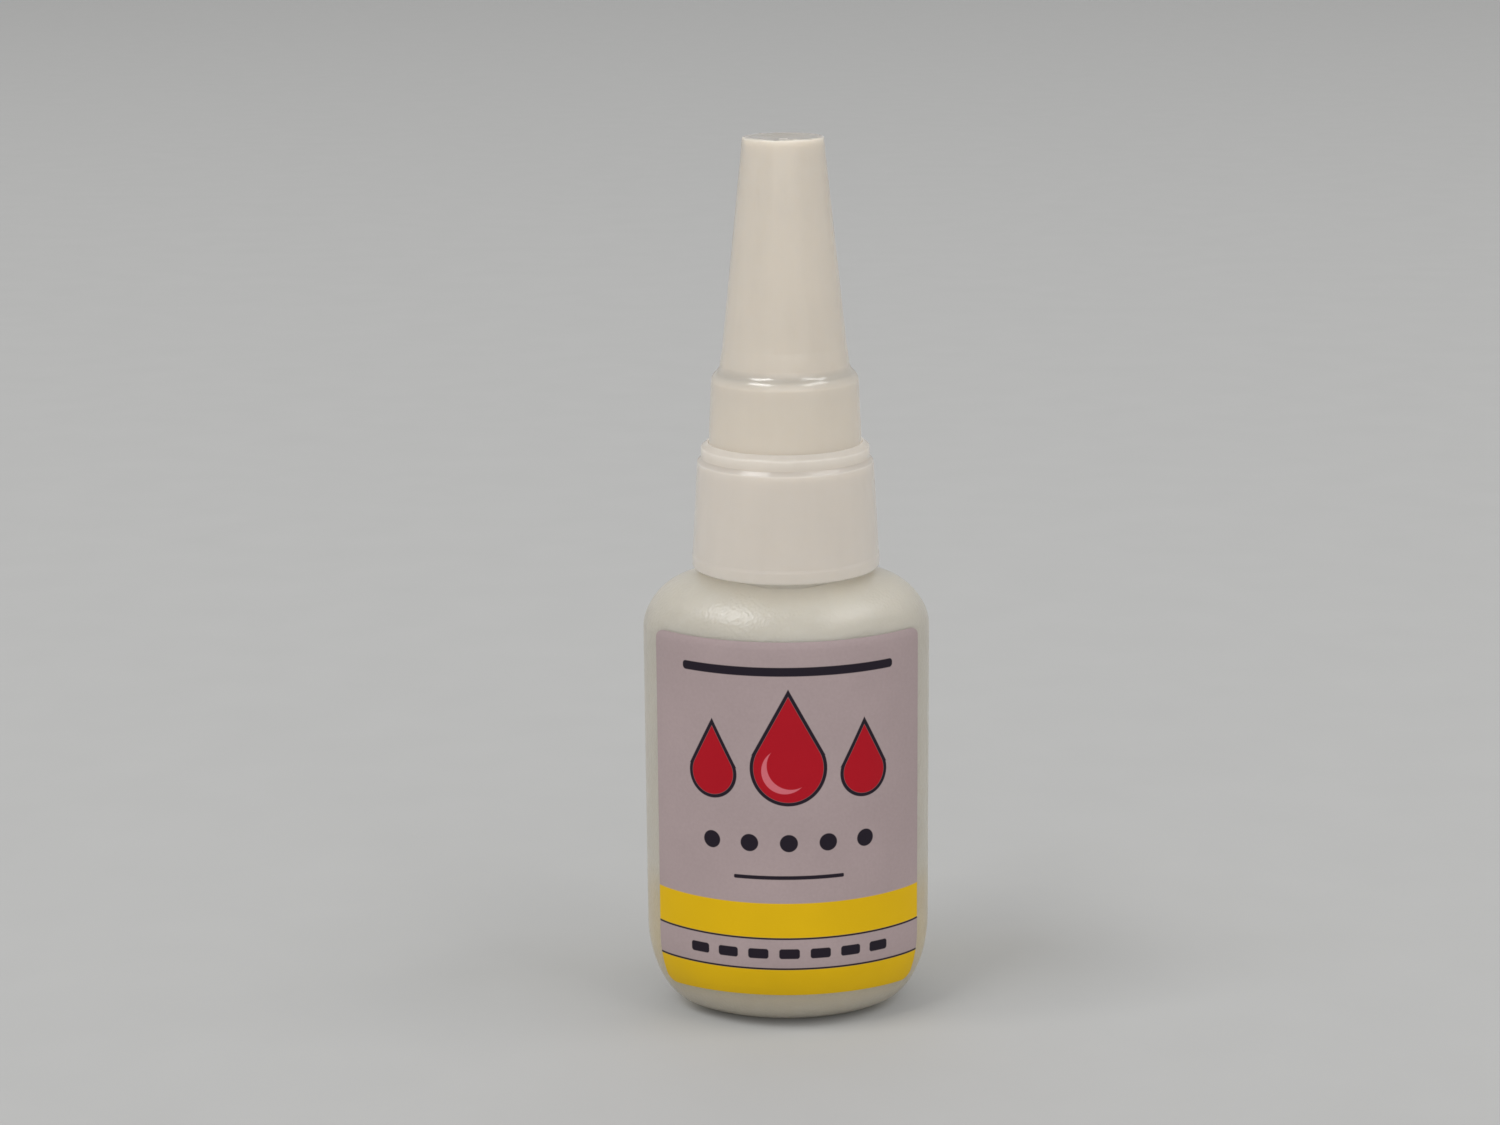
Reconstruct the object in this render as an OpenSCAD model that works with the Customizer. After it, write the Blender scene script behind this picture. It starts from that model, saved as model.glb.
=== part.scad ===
// Oval squeeze bottle for instant adhesive: a captive dropper, a screw collar and a push-on conical cap.
// The bottle stands on the XY plane with its label towards -Y, and its closure turns about the Z axis.

/* [Bottle] */
// Width of the oval body
body_w = 32.2; // [30:0.1:34.5]
// Depth of the oval body, front to back
body_d = 25; // [23:0.1:27]
// Radius of the body's round sides
side_r = 9.95; // [9.2:0.05:10.6]
// Height of the shoulder's flat top
body_h = 50.9; // [46:0.1:56]
// How far the rounded heel draws in to the base
heel_in = 6.1; // [5.2:0.1:6.6]
// Height of the rounded heel
heel_h = 9.8; // [8:0.1:11]
// How far the rounded shoulder draws in to its flat top
shoulder_in = 8; // [6.6:0.1:8.4]
// Height of the rounded shoulder
shoulder_h = 6.7; // [5.5:0.1:8]
// Wall of the moulded bottle
wall = 1; // [0.7:0.05:1.2]
// Width of the flat oval ring that the bottle stands on
foot_w = 1.5; // [1:0.1:1.6]
// Height of the hollow inside that ring
push_up_h = 0.9; // [0.5:0.05:1.4]
// Edge radius of that hollow
push_up_r = 0.7; // [0.4:0.05:0.9]
// Width of the pinch-off seam across the hollow
pinch_w = 0.6; // [0.3:0.05:1]
// Height of the pinch-off seam
pinch_h = 0.35; // [0.2:0.05:0.45]
// Outer diameter of the neck, under its thread
neck_d = 15; // [14:0.1:15.6]
// Bore of the neck
neck_bore = 11.4; // [10.6:0.1:12]
// Height of the neck above the shoulder
neck_h = 9.7; // [8.5:0.1:12]
// Fillet at the root of the neck
neck_fillet_r = 0.6; // [0.3:0.05:0.8]
// Bevel at the mouth of the neck
mouth_bevel = 0.4; // [0.2:0.05:0.6]

/* [Label] */
// Thickness of the label film
label_t = 0.1; // [0.06:0.01:0.2]
// Bare strip beside the label, seen from the front
label_side = 1.6; // [0.8:0.1:4]
// Height of the label's lower edge
label_foot = 5; // [3:0.05:10]
// Bare strip between the label's upper edge and the shoulder's flat top
label_drop = 5.4; // [4:0.1:12]
// Corner radius of the label
label_corner_r = 0.9; // [0.3:0.1:3]

/* [Glue] */
// Air space below the shoulder's flat top
air_h = 12.7; // [8:0.1:35]

/* [Dropper] */
// Length of the plug inside the neck
plug_len = 7; // [5:0.1:8.5]
// Bevel at the plug's lower end
plug_bevel = 0.5; // [0.2:0.05:0.8]
// Thickness of the flange between neck and collar
flange_t = 1.2; // [0.8:0.05:1.8]
// Step from the neck's outside in to the flange
flange_step = 0.3; // [0.1:0.05:0.8]
// Channel through the plug and the boss
channel_d = 8; // [6.5:0.1:8.4]
// Diameter of the boss that carries the cap
boss_d = 10.4; // [9.8:0.1:10.9]
// Height of the boss above the collar
boss_h = 6.4; // [5.5:0.1:7.2]
// Bevel at the boss's upper edge
boss_bevel = 0.4; // [0.2:0.05:0.6]
// Section radius of the two beads on the boss
bead_r = 0.5; // [0.4:0.05:0.6]
// How far the bead that keeps the collar on stands out
keep_bead = 0.5; // [0.3:0.05:0.6]
// How far the bead that grips the cap stands out
grip_bead = 0.2; // [0.1:0.05:0.3]
// Distance of that bead below the top of the boss
grip_bead_drop = 2; // [1.2:0.1:2.8]
// Diameter of the tip at its foot
tip_foot_d = 7.6; // [6.8:0.1:8.4]
// Diameter of the tip at its end
tip_end_d = 2.6; // [2.2:0.1:3.2]
// Wall of the tip at its foot
tip_wall = 1.4; // [1:0.05:1.8]
// Bore of the dispensing hole
orifice_d = 1.2; // [0.8:0.05:1.5]
// Straight length of the dispensing hole
orifice_len = 6; // [4.5:0.1:9]

/* [Collar] */
// Gap between the collar's foot and the shoulder
collar_gap = 0.5; // [0.3:0.05:1.5]
// How much the collar's radius grows from its top to its foot
collar_flare = 0.66; // [0.2:0.02:1]
// Height of the band round the collar's foot
foot_band_h = 1.3; // [0.8:0.1:2]
// How far that band stands out
foot_band_out = 0.15; // [0.05:0.01:0.3]
// Step between the collar's outside and its guard ring
collar_ledge = 0.44; // [0.4:0.02:0.9]
// Radius of the collar's outer edges
collar_edge_r = 0.4; // [0.2:0.02:0.5]
// Thickness of the collar's top
deck_t = 1.66; // [1.2:0.02:2.2]
// Height of the guard ring round the cap's foot
guard_h = 2.1; // [1:0.05:3]
// Wall of the guard ring
guard_wall = 0.55; // [0.4:0.05:0.9]
// Room for the thread between neck and collar, on the radius
thread_room = 0.95; // [0.7:0.05:1.1]
// Height of the lead-in at the collar's foot
lead_in_h = 1.4; // [0.8:0.1:2]
// Width of the lead-in
lead_in_w = 0.45; // [0.2:0.05:0.6]

/* [Cap] */
// Height of the cap
cap_h = 35.8; // [32:0.1:40]
// Diameter at the cap's foot
cap_foot_d = 17.2; // [16.4:0.1:18]
// Diameter at the top of the lower band
band_top_d = 16.4; // [15.6:0.1:16.6]
// Height of the lower band
band_h = 8.7; // [8:0.1:10]
// Height of the curved step between band and cone
step_h = 2.3; // [1.6:0.1:3]
// Diameter at the foot of the cone
cone_foot_d = 14.3; // [13.8:0.1:15]
// Diameter at the cap's top
cap_top_d = 8.8; // [8:0.1:10]
// Wall of the band
band_wall = 1; // [0.7:0.05:1.2]
// Wall of the cone at its top
cone_wall = 1.5; // [1:0.05:1.9]
// Thickness of the cap's top
cap_top_t = 1.4; // [1:0.05:2]
// Depth of the dish in the cap's top
dish_h = 0.45; // [0.2:0.05:0.7]
// Width of the rim round the dish
rim_w = 0.65; // [0.4:0.05:1]
// Edge radius of that rim
rim_r = 0.3; // [0.15:0.05:0.4]
// Wall of the sleeve that grips the boss
sleeve_wall = 0.8; // [0.6:0.05:1]
// Distance of the sleeve's end above the cap's foot
sleeve_up = 1.6; // [1.3:0.1:2.4]
// Diameter of the pin that closes the dispensing hole
pin_d = 1; // [0.6:0.05:1.1]
// Length of the pin inside the hole
pin_len = 3.5; // [2:0.1:4]
// Room between the dropper's end and the inside of the cap
tip_room = 1.5; // [0.8:0.1:3]

/* [Fits] */
// Radial clearance of the sliding fits
slide_clear = 0.05; // [0.03:0.01:0.1]
// Radial clearance between boss and collar
turn_clear = 0.1; // [0.05:0.01:0.15]
// Gap between flat faces that meet
seat_gap = 0.02; // [0.01:0.01:0.05]
// Radial clearance between the cap's foot and the guard ring
guard_clear = 0.25; // [0.15:0.05:0.5]

/* [Hidden] */
$fn = 120;

// Overrun of cuts past the faces that they leave
cut = 1;
// Steps along each face arc, each side arc and each rounded edge of the oval body
face_steps = 14;
side_steps = 14;
round_steps = 7;

// The oval is two wide face arcs that run tangent into two round sides
half_d = body_d / 2;
side_c = body_w / 2 - side_r;
face_r = (side_c * side_c + half_d * half_d - side_r * side_r) / (2 * (half_d - side_r));
face_c = face_r - half_d;
face_a = atan2(side_c, face_c);
side_a = 90 - face_a;
push_up_in = heel_in + foot_w;

// Levels from the neck up
lip_z = body_h + neck_h;
flange_z = lip_z + seat_gap;
deck_z = flange_z + flange_t + seat_gap;
ledge_z = deck_z + deck_t;
guard_z = ledge_z + guard_h;
boss_z = ledge_z + boss_h;
cap_z = ledge_z + seat_gap;
band_z = cap_z + band_h;
cone_z = band_z + step_h;
cap_top_z = cap_z + cap_h;
ceiling_z = cap_top_z - dish_h - cap_top_t;
tip_z = ceiling_z - tip_room;
plug_z = lip_z - plug_len;
collar_z = body_h + collar_gap;

// Radii of the closure, from the neck outwards and from the boss outwards
plug_r = neck_bore / 2 - slide_clear;
flange_r = neck_d / 2 - flange_step;
boss_r = boss_d / 2;
deck_hole_r = boss_r + turn_clear;
sleeve_r = boss_r + grip_bead + slide_clear;
thread_r = neck_d / 2 + thread_room;
guard_in_r = cap_foot_d / 2 + guard_clear;
guard_r = guard_in_r + guard_wall;
collar_top_r = guard_r + collar_ledge;
collar_foot_r = collar_top_r + collar_flare;

// Points along one arc, without its end
function arc_points(x, y, r, from, to, steps) = [
    for (i = [0 : steps - 1])
        let (a = from + (to - from) * i / steps)
        [x + r * cos(a), y + r * sin(a)]
];

// One turn of the oval, moved inwards by inset, from the front's left end
function oval_ring(inset) = concat(
    arc_points(0, face_c, face_r - inset, -90 - face_a, face_a - 90, face_steps),
    arc_points(side_c, 0, side_r - inset, -side_a, side_a, side_steps),
    arc_points(0, -face_c, face_r - inset, 90 - face_a, 90 + face_a, face_steps),
    arc_points(-side_c, 0, side_r - inset, 180 - side_a, 180 + side_a, side_steps)
);

// Insets and heights up a rounded lower edge that starts at height z, draws in by r and is h high
function heel_levels(inset, z, r, h) = [
    for (i = [0 : round_steps])
        let (a = 90 * i / round_steps)
        [inset + r * (1 - sin(a)), z + h * (1 - cos(a))]
];

// Insets and heights up a rounded upper edge that ends at height z, draws in by r and is h high
function shoulder_levels(inset, z, r, h) = [
    for (i = [0 : round_steps])
        let (a = 90 * i / round_steps)
        [inset + r * (1 - cos(a)), z - h * (1 - sin(a))]
];

// Closed solid through oval rings, one at each level's inset and height
module oval_loft(levels) {
    rings = [for (level = levels) oval_ring(level[0])];
    n = len(rings[0]);
    last = len(levels) - 1;
    points = [for (k = [0 : last]) for (p = rings[k]) [p[0], p[1], levels[k][1]]];
    walls = [
        for (k = [0 : last - 1])
            for (i = [0 : n - 1])
                let (a = k * n + i, b = k * n + (i + 1) % n)
                each [[a, a + n, b + n], [a, b + n, b]]
    ];
    floor_face = [for (i = [0 : n - 1]) i];
    top_face = [for (i = [0 : n - 1]) last * n + n - 1 - i];
    polyhedron(points, concat([floor_face], walls, [top_face]));
}

// The body's outside, moved inwards by inset on every face and drawn on below its base by skirt
module body_form(inset, skirt) {
    foot = skirt > 0 ? [[heel_in, inset - skirt]] : [];
    heel = heel_levels(inset, inset, heel_in - inset, heel_h - inset);
    shoulder = shoulder_levels(inset, body_h - inset, shoulder_in - inset, shoulder_h - inset);
    oval_loft(concat(foot, heel, shoulder));
}

// The hollow under the base, grown by grow on every face
module push_up_form(grow) {
    inset = push_up_in - grow;
    edge_r = min(push_up_r + grow, (side_r - inset) / 2);
    oval_loft(concat([[inset, -cut]], shoulder_levels(inset, push_up_h + grow, edge_r, edge_r)));
}

// The space inside the bottle, moved inwards from its walls by gap
module cavity_form(gap) {
    difference() {
        body_form(wall + gap, 0);
        push_up_form(wall + gap);
    }
}

// Concave fillet between the shoulder and the neck, on a sloping root that meets the lower front and back
module neck_fillet() {
    root_r = neck_d / 2 + neck_fillet_r;
    rotate_extrude()
        difference() {
            polygon([
                [neck_d / 2 - wall, body_h - wall],
                [root_r + wall, body_h - wall],
                [root_r, body_h],
                [root_r, body_h + neck_fillet_r],
                [neck_d / 2 - wall, body_h + neck_fillet_r],
            ]);
            translate([root_r, body_h + neck_fillet_r]) circle(neck_fillet_r);
        }
}

module bottle() {
    color([0.80, 0.77, 0.71])
        union() {
            difference() {
                union() {
                    body_form(0, cut);
                    translate([0, 0, body_h - wall]) cylinder(d = neck_d, h = wall + neck_h);
                    neck_fillet();
                }
                cavity_form(0);
                push_up_form(0);
                translate([-body_w / 2, -half_d, -2 * cut]) cube([body_w, body_d, 2 * cut]);
                translate([0, 0, body_h - wall - cut]) cylinder(d = neck_bore, h = neck_h + wall + 2 * cut);
                translate([0, 0, lip_z - mouth_bevel])
                    cylinder(r1 = neck_bore / 2, r2 = neck_bore / 2 + mouth_bevel, h = mouth_bevel);
            }
            pinch_seam();
        }
}

// Seam left across the base where the mould halves pinched the tube shut
module pinch_seam() {
    seam_l = body_w - 2 * push_up_in;
    translate([-seam_l / 2, -pinch_w / 2, push_up_h - pinch_h]) cube([seam_l, pinch_w, pinch_h + wall / 2]);
}

// Upright rectangle with round corners, as the label's flat outline
module label_outline() {
    half_w = body_w / 2 - label_side;
    top = body_h - label_drop;
    translate([-half_w, label_foot + label_corner_r])
        square([2 * half_w, top - label_foot - 2 * label_corner_r]);
    translate([label_corner_r - half_w, label_foot])
        square([2 * (half_w - label_corner_r), top - label_foot]);
    for (x = [label_corner_r - half_w, half_w - label_corner_r])
        for (z = [label_foot + label_corner_r, top - label_corner_r])
            translate([x, z]) circle(label_corner_r);
}

module front_label() {
    color([0.60, 0.54, 0.54])
        intersection() {
            difference() {
                body_form(-seat_gap - label_t, 0);
                body_form(-seat_gap, 0);
            }
            rotate([90, 0, 0]) linear_extrude(height = body_d) label_outline();
        }
}

module glue() {
    color([0.93, 0.93, 0.88])
        intersection() {
            cavity_form(seat_gap);
            translate([-body_w / 2, -half_d, 0]) cube([body_w, body_d, body_h - air_h]);
        }
}

// Ring of round section that stands out from the boss
module boss_bead(out, z) {
    rotate_extrude() translate([boss_r + out - bead_r, z]) circle(bead_r);
}

module dropper_nozzle() {
    orifice_r = orifice_d / 2;
    lip_r = (tip_end_d / 2 - orifice_r) / 2;
    end_z = tip_z - lip_r;
    throat_r = tip_foot_d / 2 - tip_wall;
    throat_z = boss_z - (channel_d / 2 - throat_r);
    color([0.86, 0.85, 0.81]) {
        rotate_extrude() {
            polygon([
                [channel_d / 2, plug_z],
                [plug_r - plug_bevel, plug_z],
                [plug_r, plug_z + plug_bevel],
                [plug_r, flange_z],
                [flange_r, flange_z],
                [flange_r, flange_z + flange_t],
                [boss_r, flange_z + flange_t],
                [boss_r, boss_z - boss_bevel],
                [boss_r - boss_bevel, boss_z],
                [tip_foot_d / 2, boss_z],
                [tip_end_d / 2, end_z],
                [orifice_r, end_z],
                [orifice_r, end_z - orifice_len],
                [throat_r, boss_z],
                [channel_d / 2, throat_z],
            ]);
            translate([orifice_r + lip_r, end_z]) circle(lip_r);
        }
        boss_bead(keep_bead, ledge_z + seat_gap + bead_r);
        boss_bead(grip_bead, boss_z - grip_bead_drop);
    }
}

module screw_collar() {
    edge = collar_edge_r;
    color([0.78, 0.75, 0.71])
        rotate_extrude() {
            polygon([
                [thread_r + lead_in_w, collar_z],
                [collar_foot_r - edge, collar_z],
                [collar_foot_r, collar_z + edge],
                [collar_foot_r, collar_z + foot_band_h],
                [collar_foot_r - foot_band_out, collar_z + foot_band_h + foot_band_out],
                [collar_top_r, ledge_z - edge],
                [collar_top_r - edge, ledge_z],
                [guard_r, ledge_z],
                [guard_r, guard_z - guard_wall / 2],
                [guard_in_r, guard_z - guard_wall / 2],
                [guard_in_r, ledge_z],
                [deck_hole_r, ledge_z],
                [deck_hole_r, deck_z],
                [thread_r, deck_z],
                [thread_r, collar_z + lead_in_h],
            ]);
            translate([collar_foot_r - edge, collar_z + edge]) circle(edge);
            translate([collar_top_r - edge, ledge_z - edge]) circle(edge);
            translate([guard_in_r + guard_wall / 2, guard_z - guard_wall / 2]) circle(guard_wall / 2);
        }
}

// Half outline of the cap's outside: band, curved step, cone and rim
module cap_outline() {
    band_r = band_top_d / 2;
    cone_r = cone_foot_d / 2;
    top_r = cap_top_d / 2;
    step_w = band_r - cone_r;
    curve_r = (step_w * step_w + step_h * step_h) / (4 * step_w);
    difference() {
        union() {
            polygon([
                [0, cap_z],
                [cap_foot_d / 2, cap_z],
                [band_r, band_z],
                [cone_r, cone_z],
                [top_r, cap_top_z - rim_r],
                [top_r - rim_r, cap_top_z],
                [0, cap_top_z],
            ]);
            translate([top_r - rim_r, cap_top_z - rim_r]) circle(rim_r);
            intersection() {
                translate([band_r - curve_r, band_z]) circle(curve_r);
                translate([cone_r, band_z - cut]) square([step_w, step_h / 2 + cut]);
            }
        }
        intersection() {
            translate([cone_r + curve_r, cone_z]) circle(curve_r);
            translate([cone_r, cone_z - step_h / 2]) square([step_w, step_h]);
        }
    }
}

// Half outline of the cap's inside: space in the band, sleeve bore and cone
module cap_inside() {
    band_in_z = band_z - band_wall;
    cone_in_r = cap_top_d / 2 - cone_wall;
    polygon([
        [0, cap_z - cut],
        [cap_foot_d / 2 - band_wall, cap_z - cut],
        [cap_foot_d / 2 - band_wall, cap_z],
        [band_top_d / 2 - band_wall, band_in_z],
        [sleeve_r + sleeve_wall, band_in_z],
        [sleeve_r + sleeve_wall, cap_z + sleeve_up],
        [sleeve_r, cap_z + sleeve_up],
        [sleeve_r, band_z],
        [cone_in_r, ceiling_z],
        [0, ceiling_z],
    ]);
}

module cap() {
    dish_w = cap_top_d / 2 - rim_w;
    dish_r = (dish_w * dish_w + dish_h * dish_h) / (2 * dish_h);
    color([0.80, 0.76, 0.69]) {
        difference() {
            rotate_extrude()
                difference() {
                    cap_outline();
                    cap_inside();
                }
            translate([0, 0, cap_top_z + dish_r - dish_h]) sphere(dish_r);
        }
        translate([0, 0, tip_z - pin_len]) cylinder(d = pin_d, h = pin_len + tip_room + cap_top_t / 2);
    }
}

bottle();
front_label();
glue();
dropper_nozzle();
screw_collar();
cap();
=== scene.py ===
"""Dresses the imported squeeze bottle: moulded skins, threads, a printed film label and soft studio light."""

import logging
import math
from dataclasses import dataclass, field
from enum import Enum
from typing import Callable, Iterable, Sequence, Union

import bmesh
import bpy
from mathutils import Matrix, Vector, noise


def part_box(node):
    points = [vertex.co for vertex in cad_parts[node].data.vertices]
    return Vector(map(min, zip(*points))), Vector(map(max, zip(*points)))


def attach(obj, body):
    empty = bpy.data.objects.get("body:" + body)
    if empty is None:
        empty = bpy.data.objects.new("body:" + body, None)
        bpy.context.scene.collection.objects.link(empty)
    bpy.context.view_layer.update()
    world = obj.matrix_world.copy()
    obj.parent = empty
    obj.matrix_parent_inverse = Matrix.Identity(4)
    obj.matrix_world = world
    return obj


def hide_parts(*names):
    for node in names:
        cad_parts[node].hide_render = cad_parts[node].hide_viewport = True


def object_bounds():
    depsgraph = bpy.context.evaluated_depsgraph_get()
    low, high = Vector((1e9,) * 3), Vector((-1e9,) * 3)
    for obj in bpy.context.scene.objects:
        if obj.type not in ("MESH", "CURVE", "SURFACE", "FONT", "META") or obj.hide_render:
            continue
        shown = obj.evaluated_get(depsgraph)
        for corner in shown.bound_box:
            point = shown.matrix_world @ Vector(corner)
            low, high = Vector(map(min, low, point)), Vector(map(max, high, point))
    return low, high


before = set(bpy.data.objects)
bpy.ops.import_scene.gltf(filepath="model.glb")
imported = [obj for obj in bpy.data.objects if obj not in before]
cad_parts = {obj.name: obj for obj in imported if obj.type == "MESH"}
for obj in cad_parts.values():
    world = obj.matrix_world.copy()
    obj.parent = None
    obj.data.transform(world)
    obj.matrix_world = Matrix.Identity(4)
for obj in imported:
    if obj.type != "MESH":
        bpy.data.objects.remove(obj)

CAD_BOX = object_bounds()
LOG = logging.getLogger("adhesive_bottle")

# Pieces are drawn in millimetres, and Blender's objects are in metres
MM = 0.001
TURN = 2.0 * math.pi
QUARTER = 0.5 * math.pi
# Largest turn between neighbouring faces of a rounded edge, and the turn past which an edge stays sharp
ROUND_STEP = math.radians(12.0)
SHARP_TURN = math.radians(38.0)
# Largest share of an edge that the rounding at one of its ends takes
EDGE_SHARE = 0.49
# Height of the neck above the shoulder
NECK_H = 9.7
# How far a fine and a slow noise stray from one half
FINE_REACH, SLOW_REACH = 0.25, 0.3
# Kinds of group sockets, and the places of the colours among a Mix node's sockets
FLOAT, VECTOR, COLOUR = "NodeSocketFloat", "NodeSocketVector", "NodeSocketColor"
MIX_FIRST, MIX_SECOND, MIX_RESULT = 6, 7, 2

Point2 = tuple[float, float]
Point3 = tuple[float, float, float]
Colour = tuple[float, float, float, float]
BarSize = tuple[float, float, float, float]
Socket = bpy.types.NodeSocket
Feed = Union[Socket, float]
Shift = Callable[[float, float, float], Point2]


class Body(Enum):
    """Moving bodies of the frame that the pieces ride on."""

    BOTTLE = "bottle"
    DROPPER = "dropper"
    COLLAR = "collar"
    CAP = "cap"


class Node(Enum):
    """Solids of the frame that the pieces stand for."""

    BOTTLE = "bottle"
    LABEL = "front_label"
    GLUE = "glue"
    DROPPER = "dropper_nozzle"
    COLLAR = "screw_collar"
    CAP = "cap"


class Slot(Enum):
    """Names of material slots."""

    BOTTLE = "bottle_plastic"
    LABEL = "label_film"
    GLUE = "adhesive"
    DROPPER = "dropper_plastic"
    COLLAR = "collar_plastic"
    CAP = "cap_plastic"


class Ink(Enum):
    """Inks of the label's print."""

    YELLOW = "Yellow"
    RED = "Red"
    PALE = "Pale"
    DARK = "Dark"


class Fillet:
    """Radii of small roundings in millimetres, from a crease to a soft edge."""

    CREASE = 0.05
    CRISP = 0.1
    FINE = 0.15
    EASED = 0.2
    SOFT = 0.3


def tint(red: int, green: int, blue: int) -> Colour:
    """Turns a colour as a screen shows it into the linear colour that shaders take.

    Args:
        red: Red from 0 to 255.
        green: Green from 0 to 255.
        blue: Blue from 0 to 255.

    Returns:
        The linear colour, with full alpha.
    """

    def linear(value: int) -> float:
        """Undoes the screen's curve on one channel."""
        share = value / 255.0
        return share / 12.92 if share <= 0.04045 else ((share + 0.055) / 1.055) ** 2.4

    return (linear(red), linear(green), linear(blue), 1.0)


def extent(node: Node) -> tuple[Vector, Vector]:
    """Gives a solid's lowest and highest corner in millimetres.

    Args:
        node: The solid.

    Returns:
        Its two corners.
    """
    low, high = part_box(node.value)
    return low / MM, high / MM


@dataclass
class MeshDraft:
    """Points and faces of one piece, in millimetres, before it becomes a Blender object."""

    points: list[Point3] = field(default_factory=list)
    faces: list[tuple[int, ...]] = field(default_factory=list)

    def ring(self, points: Iterable[Point3]) -> list[int]:
        """Adds points and gives their numbers.

        Args:
            points: The points, in order.

        Returns:
            Their numbers in the draft.
        """
        start = len(self.points)
        self.points.extend(points)
        return list(range(start, len(self.points)))

    def bridge(self, lower: Sequence[int], upper: Sequence[int], closed: bool = True) -> None:
        """Joins two rows of as many points by four-sided faces.

        Args:
            lower: The first row.
            upper: The second row.
            closed: Whether the rows run back into their first points.
        """
        count = len(lower)
        for i in range(count if closed else count - 1):
            j = (i + 1) % count
            self.faces.append((lower[i], lower[j], upper[j], upper[i]))

    def stack(self, rows: Sequence[Sequence[int]], closed: bool = True) -> None:
        """Joins each row to the one after it."""
        for lower, upper in zip(rows, rows[1:]):
            self.bridge(lower, upper, closed)

    def rod(self, rows: Sequence[Sequence[int]]) -> None:
        """Joins the sections of a rod and closes its two ends."""
        self.stack(rows)
        self.faces += [tuple(rows[0]), tuple(reversed(rows[-1]))]

    def fan(self, ring: Sequence[int], centre: Point3, facing_up: bool) -> None:
        """Closes a ring by three-sided faces round one point.

        Args:
            ring: The ring, anticlockwise seen from above.
            centre: The point in its middle.
            facing_up: Whether the faces look upwards.
        """
        (middle,) = self.ring([centre])
        for i, here in enumerate(ring):
            after = ring[(i + 1) % len(ring)]
            self.faces.append((here, after, middle) if facing_up else (after, here, middle))

    def build(self, name: str) -> bpy.types.Object:
        """Makes the Blender object, with smooth faces and sharp edges where the form has them.

        Args:
            name: The piece's name.

        Returns:
            The object, linked to the scene.
        """
        mesh = bpy.data.meshes.new(name)
        mesh.from_pydata([(x * MM, y * MM, z * MM) for x, y, z in self.points], [], self.faces)
        shell = bmesh.new()
        shell.from_mesh(mesh)
        bmesh.ops.recalc_face_normals(shell, faces=shell.faces)
        shell.to_mesh(mesh)
        shell.free()
        mesh.shade_smooth()
        mesh.set_sharp_from_angle(angle=SHARP_TURN)
        piece = bpy.data.objects.new(name, mesh)
        bpy.context.scene.collection.objects.link(piece)
        return piece


@dataclass(frozen=True)
class Corner:
    """One corner of a turned outline."""

    r: float
    z: float
    fillet: float = 0.0


def fillet_points(before: Corner, corner: Corner, after: Corner) -> list[Point2]:
    """Rounds one corner of an outline.

    Args:
        before: The corner before it.
        corner: The corner to round.
        after: The corner after it.

    Returns:
        Points along the arc, ends included.
    """
    here = Vector((corner.r, corner.z))
    back, ahead = Vector((before.r, before.z)) - here, Vector((after.r, after.z)) - here
    room = EDGE_SHARE * min(back.length, ahead.length)
    back.normalize()
    ahead.normalize()
    opening = back.angle(ahead)
    reach = min(corner.fillet / math.tan(opening / 2.0), room)
    radius = reach * math.tan(opening / 2.0)
    centre = here + (back + ahead).normalized() * radius / math.sin(opening / 2.0)
    start, end = here + back * reach - centre, here + ahead * reach - centre
    sweep = start.angle_signed(end)
    steps = max(2, math.ceil(abs(sweep) / ROUND_STEP))
    points = []
    for i in range(steps + 1):
        spoke = start.copy()
        spoke.rotate(Matrix.Rotation(-sweep * i / steps, 2))
        points.append((centre.x + spoke.x, centre.y + spoke.y))
    return points


def rounded_outline(corners: Sequence[Corner], closed: bool) -> list[Point2]:
    """Rounds the corners of a turned outline that have a fillet.

    Args:
        corners: The corners, anticlockwise with radius to the right and height up.
        closed: Whether the outline runs back into its first corner.

    Returns:
        Radius and height of each point.
    """
    points: list[Point2] = []
    last = len(corners) - 1
    for i, corner in enumerate(corners):
        if corner.fillet <= 0.0 or (not closed and i in (0, last)):
            points.append((corner.r, corner.z))
        else:
            points.extend(fillet_points(corners[i - 1], corner, corners[(i + 1) % len(corners)]))
    return points


def turn_outline(
    draft: MeshDraft, outline: Sequence[Point2], closed: bool, steps: int, shift: Shift | None = None
) -> None:
    """Revolves an outline round the Z axis.

    Args:
        draft: The draft that takes the faces.
        outline: Radius and height of each point. An open outline starts and ends on the axis.
        closed: Whether the outline runs back into its first point.
        steps: Faces in one turn.
        shift: Moves a point, given its radius, height and angle, to another radius and height.
    """
    inner = outline if closed else outline[1:-1]
    rings = []
    for r, z in inner:
        points = []
        for i in range(steps):
            angle = TURN * i / steps
            at_r, at_z = shift(r, z, angle) if shift else (r, z)
            points.append((at_r * math.cos(angle), at_r * math.sin(angle), at_z))
        rings.append(draft.ring(points))
    draft.stack(rings)
    if closed:
        draft.bridge(rings[-1], rings[0])
    else:
        draft.fan(rings[0], (0.0, 0.0, outline[0][1]), facing_up=False)
        draft.fan(rings[-1], (0.0, 0.0, outline[-1][1]), facing_up=True)


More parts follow.
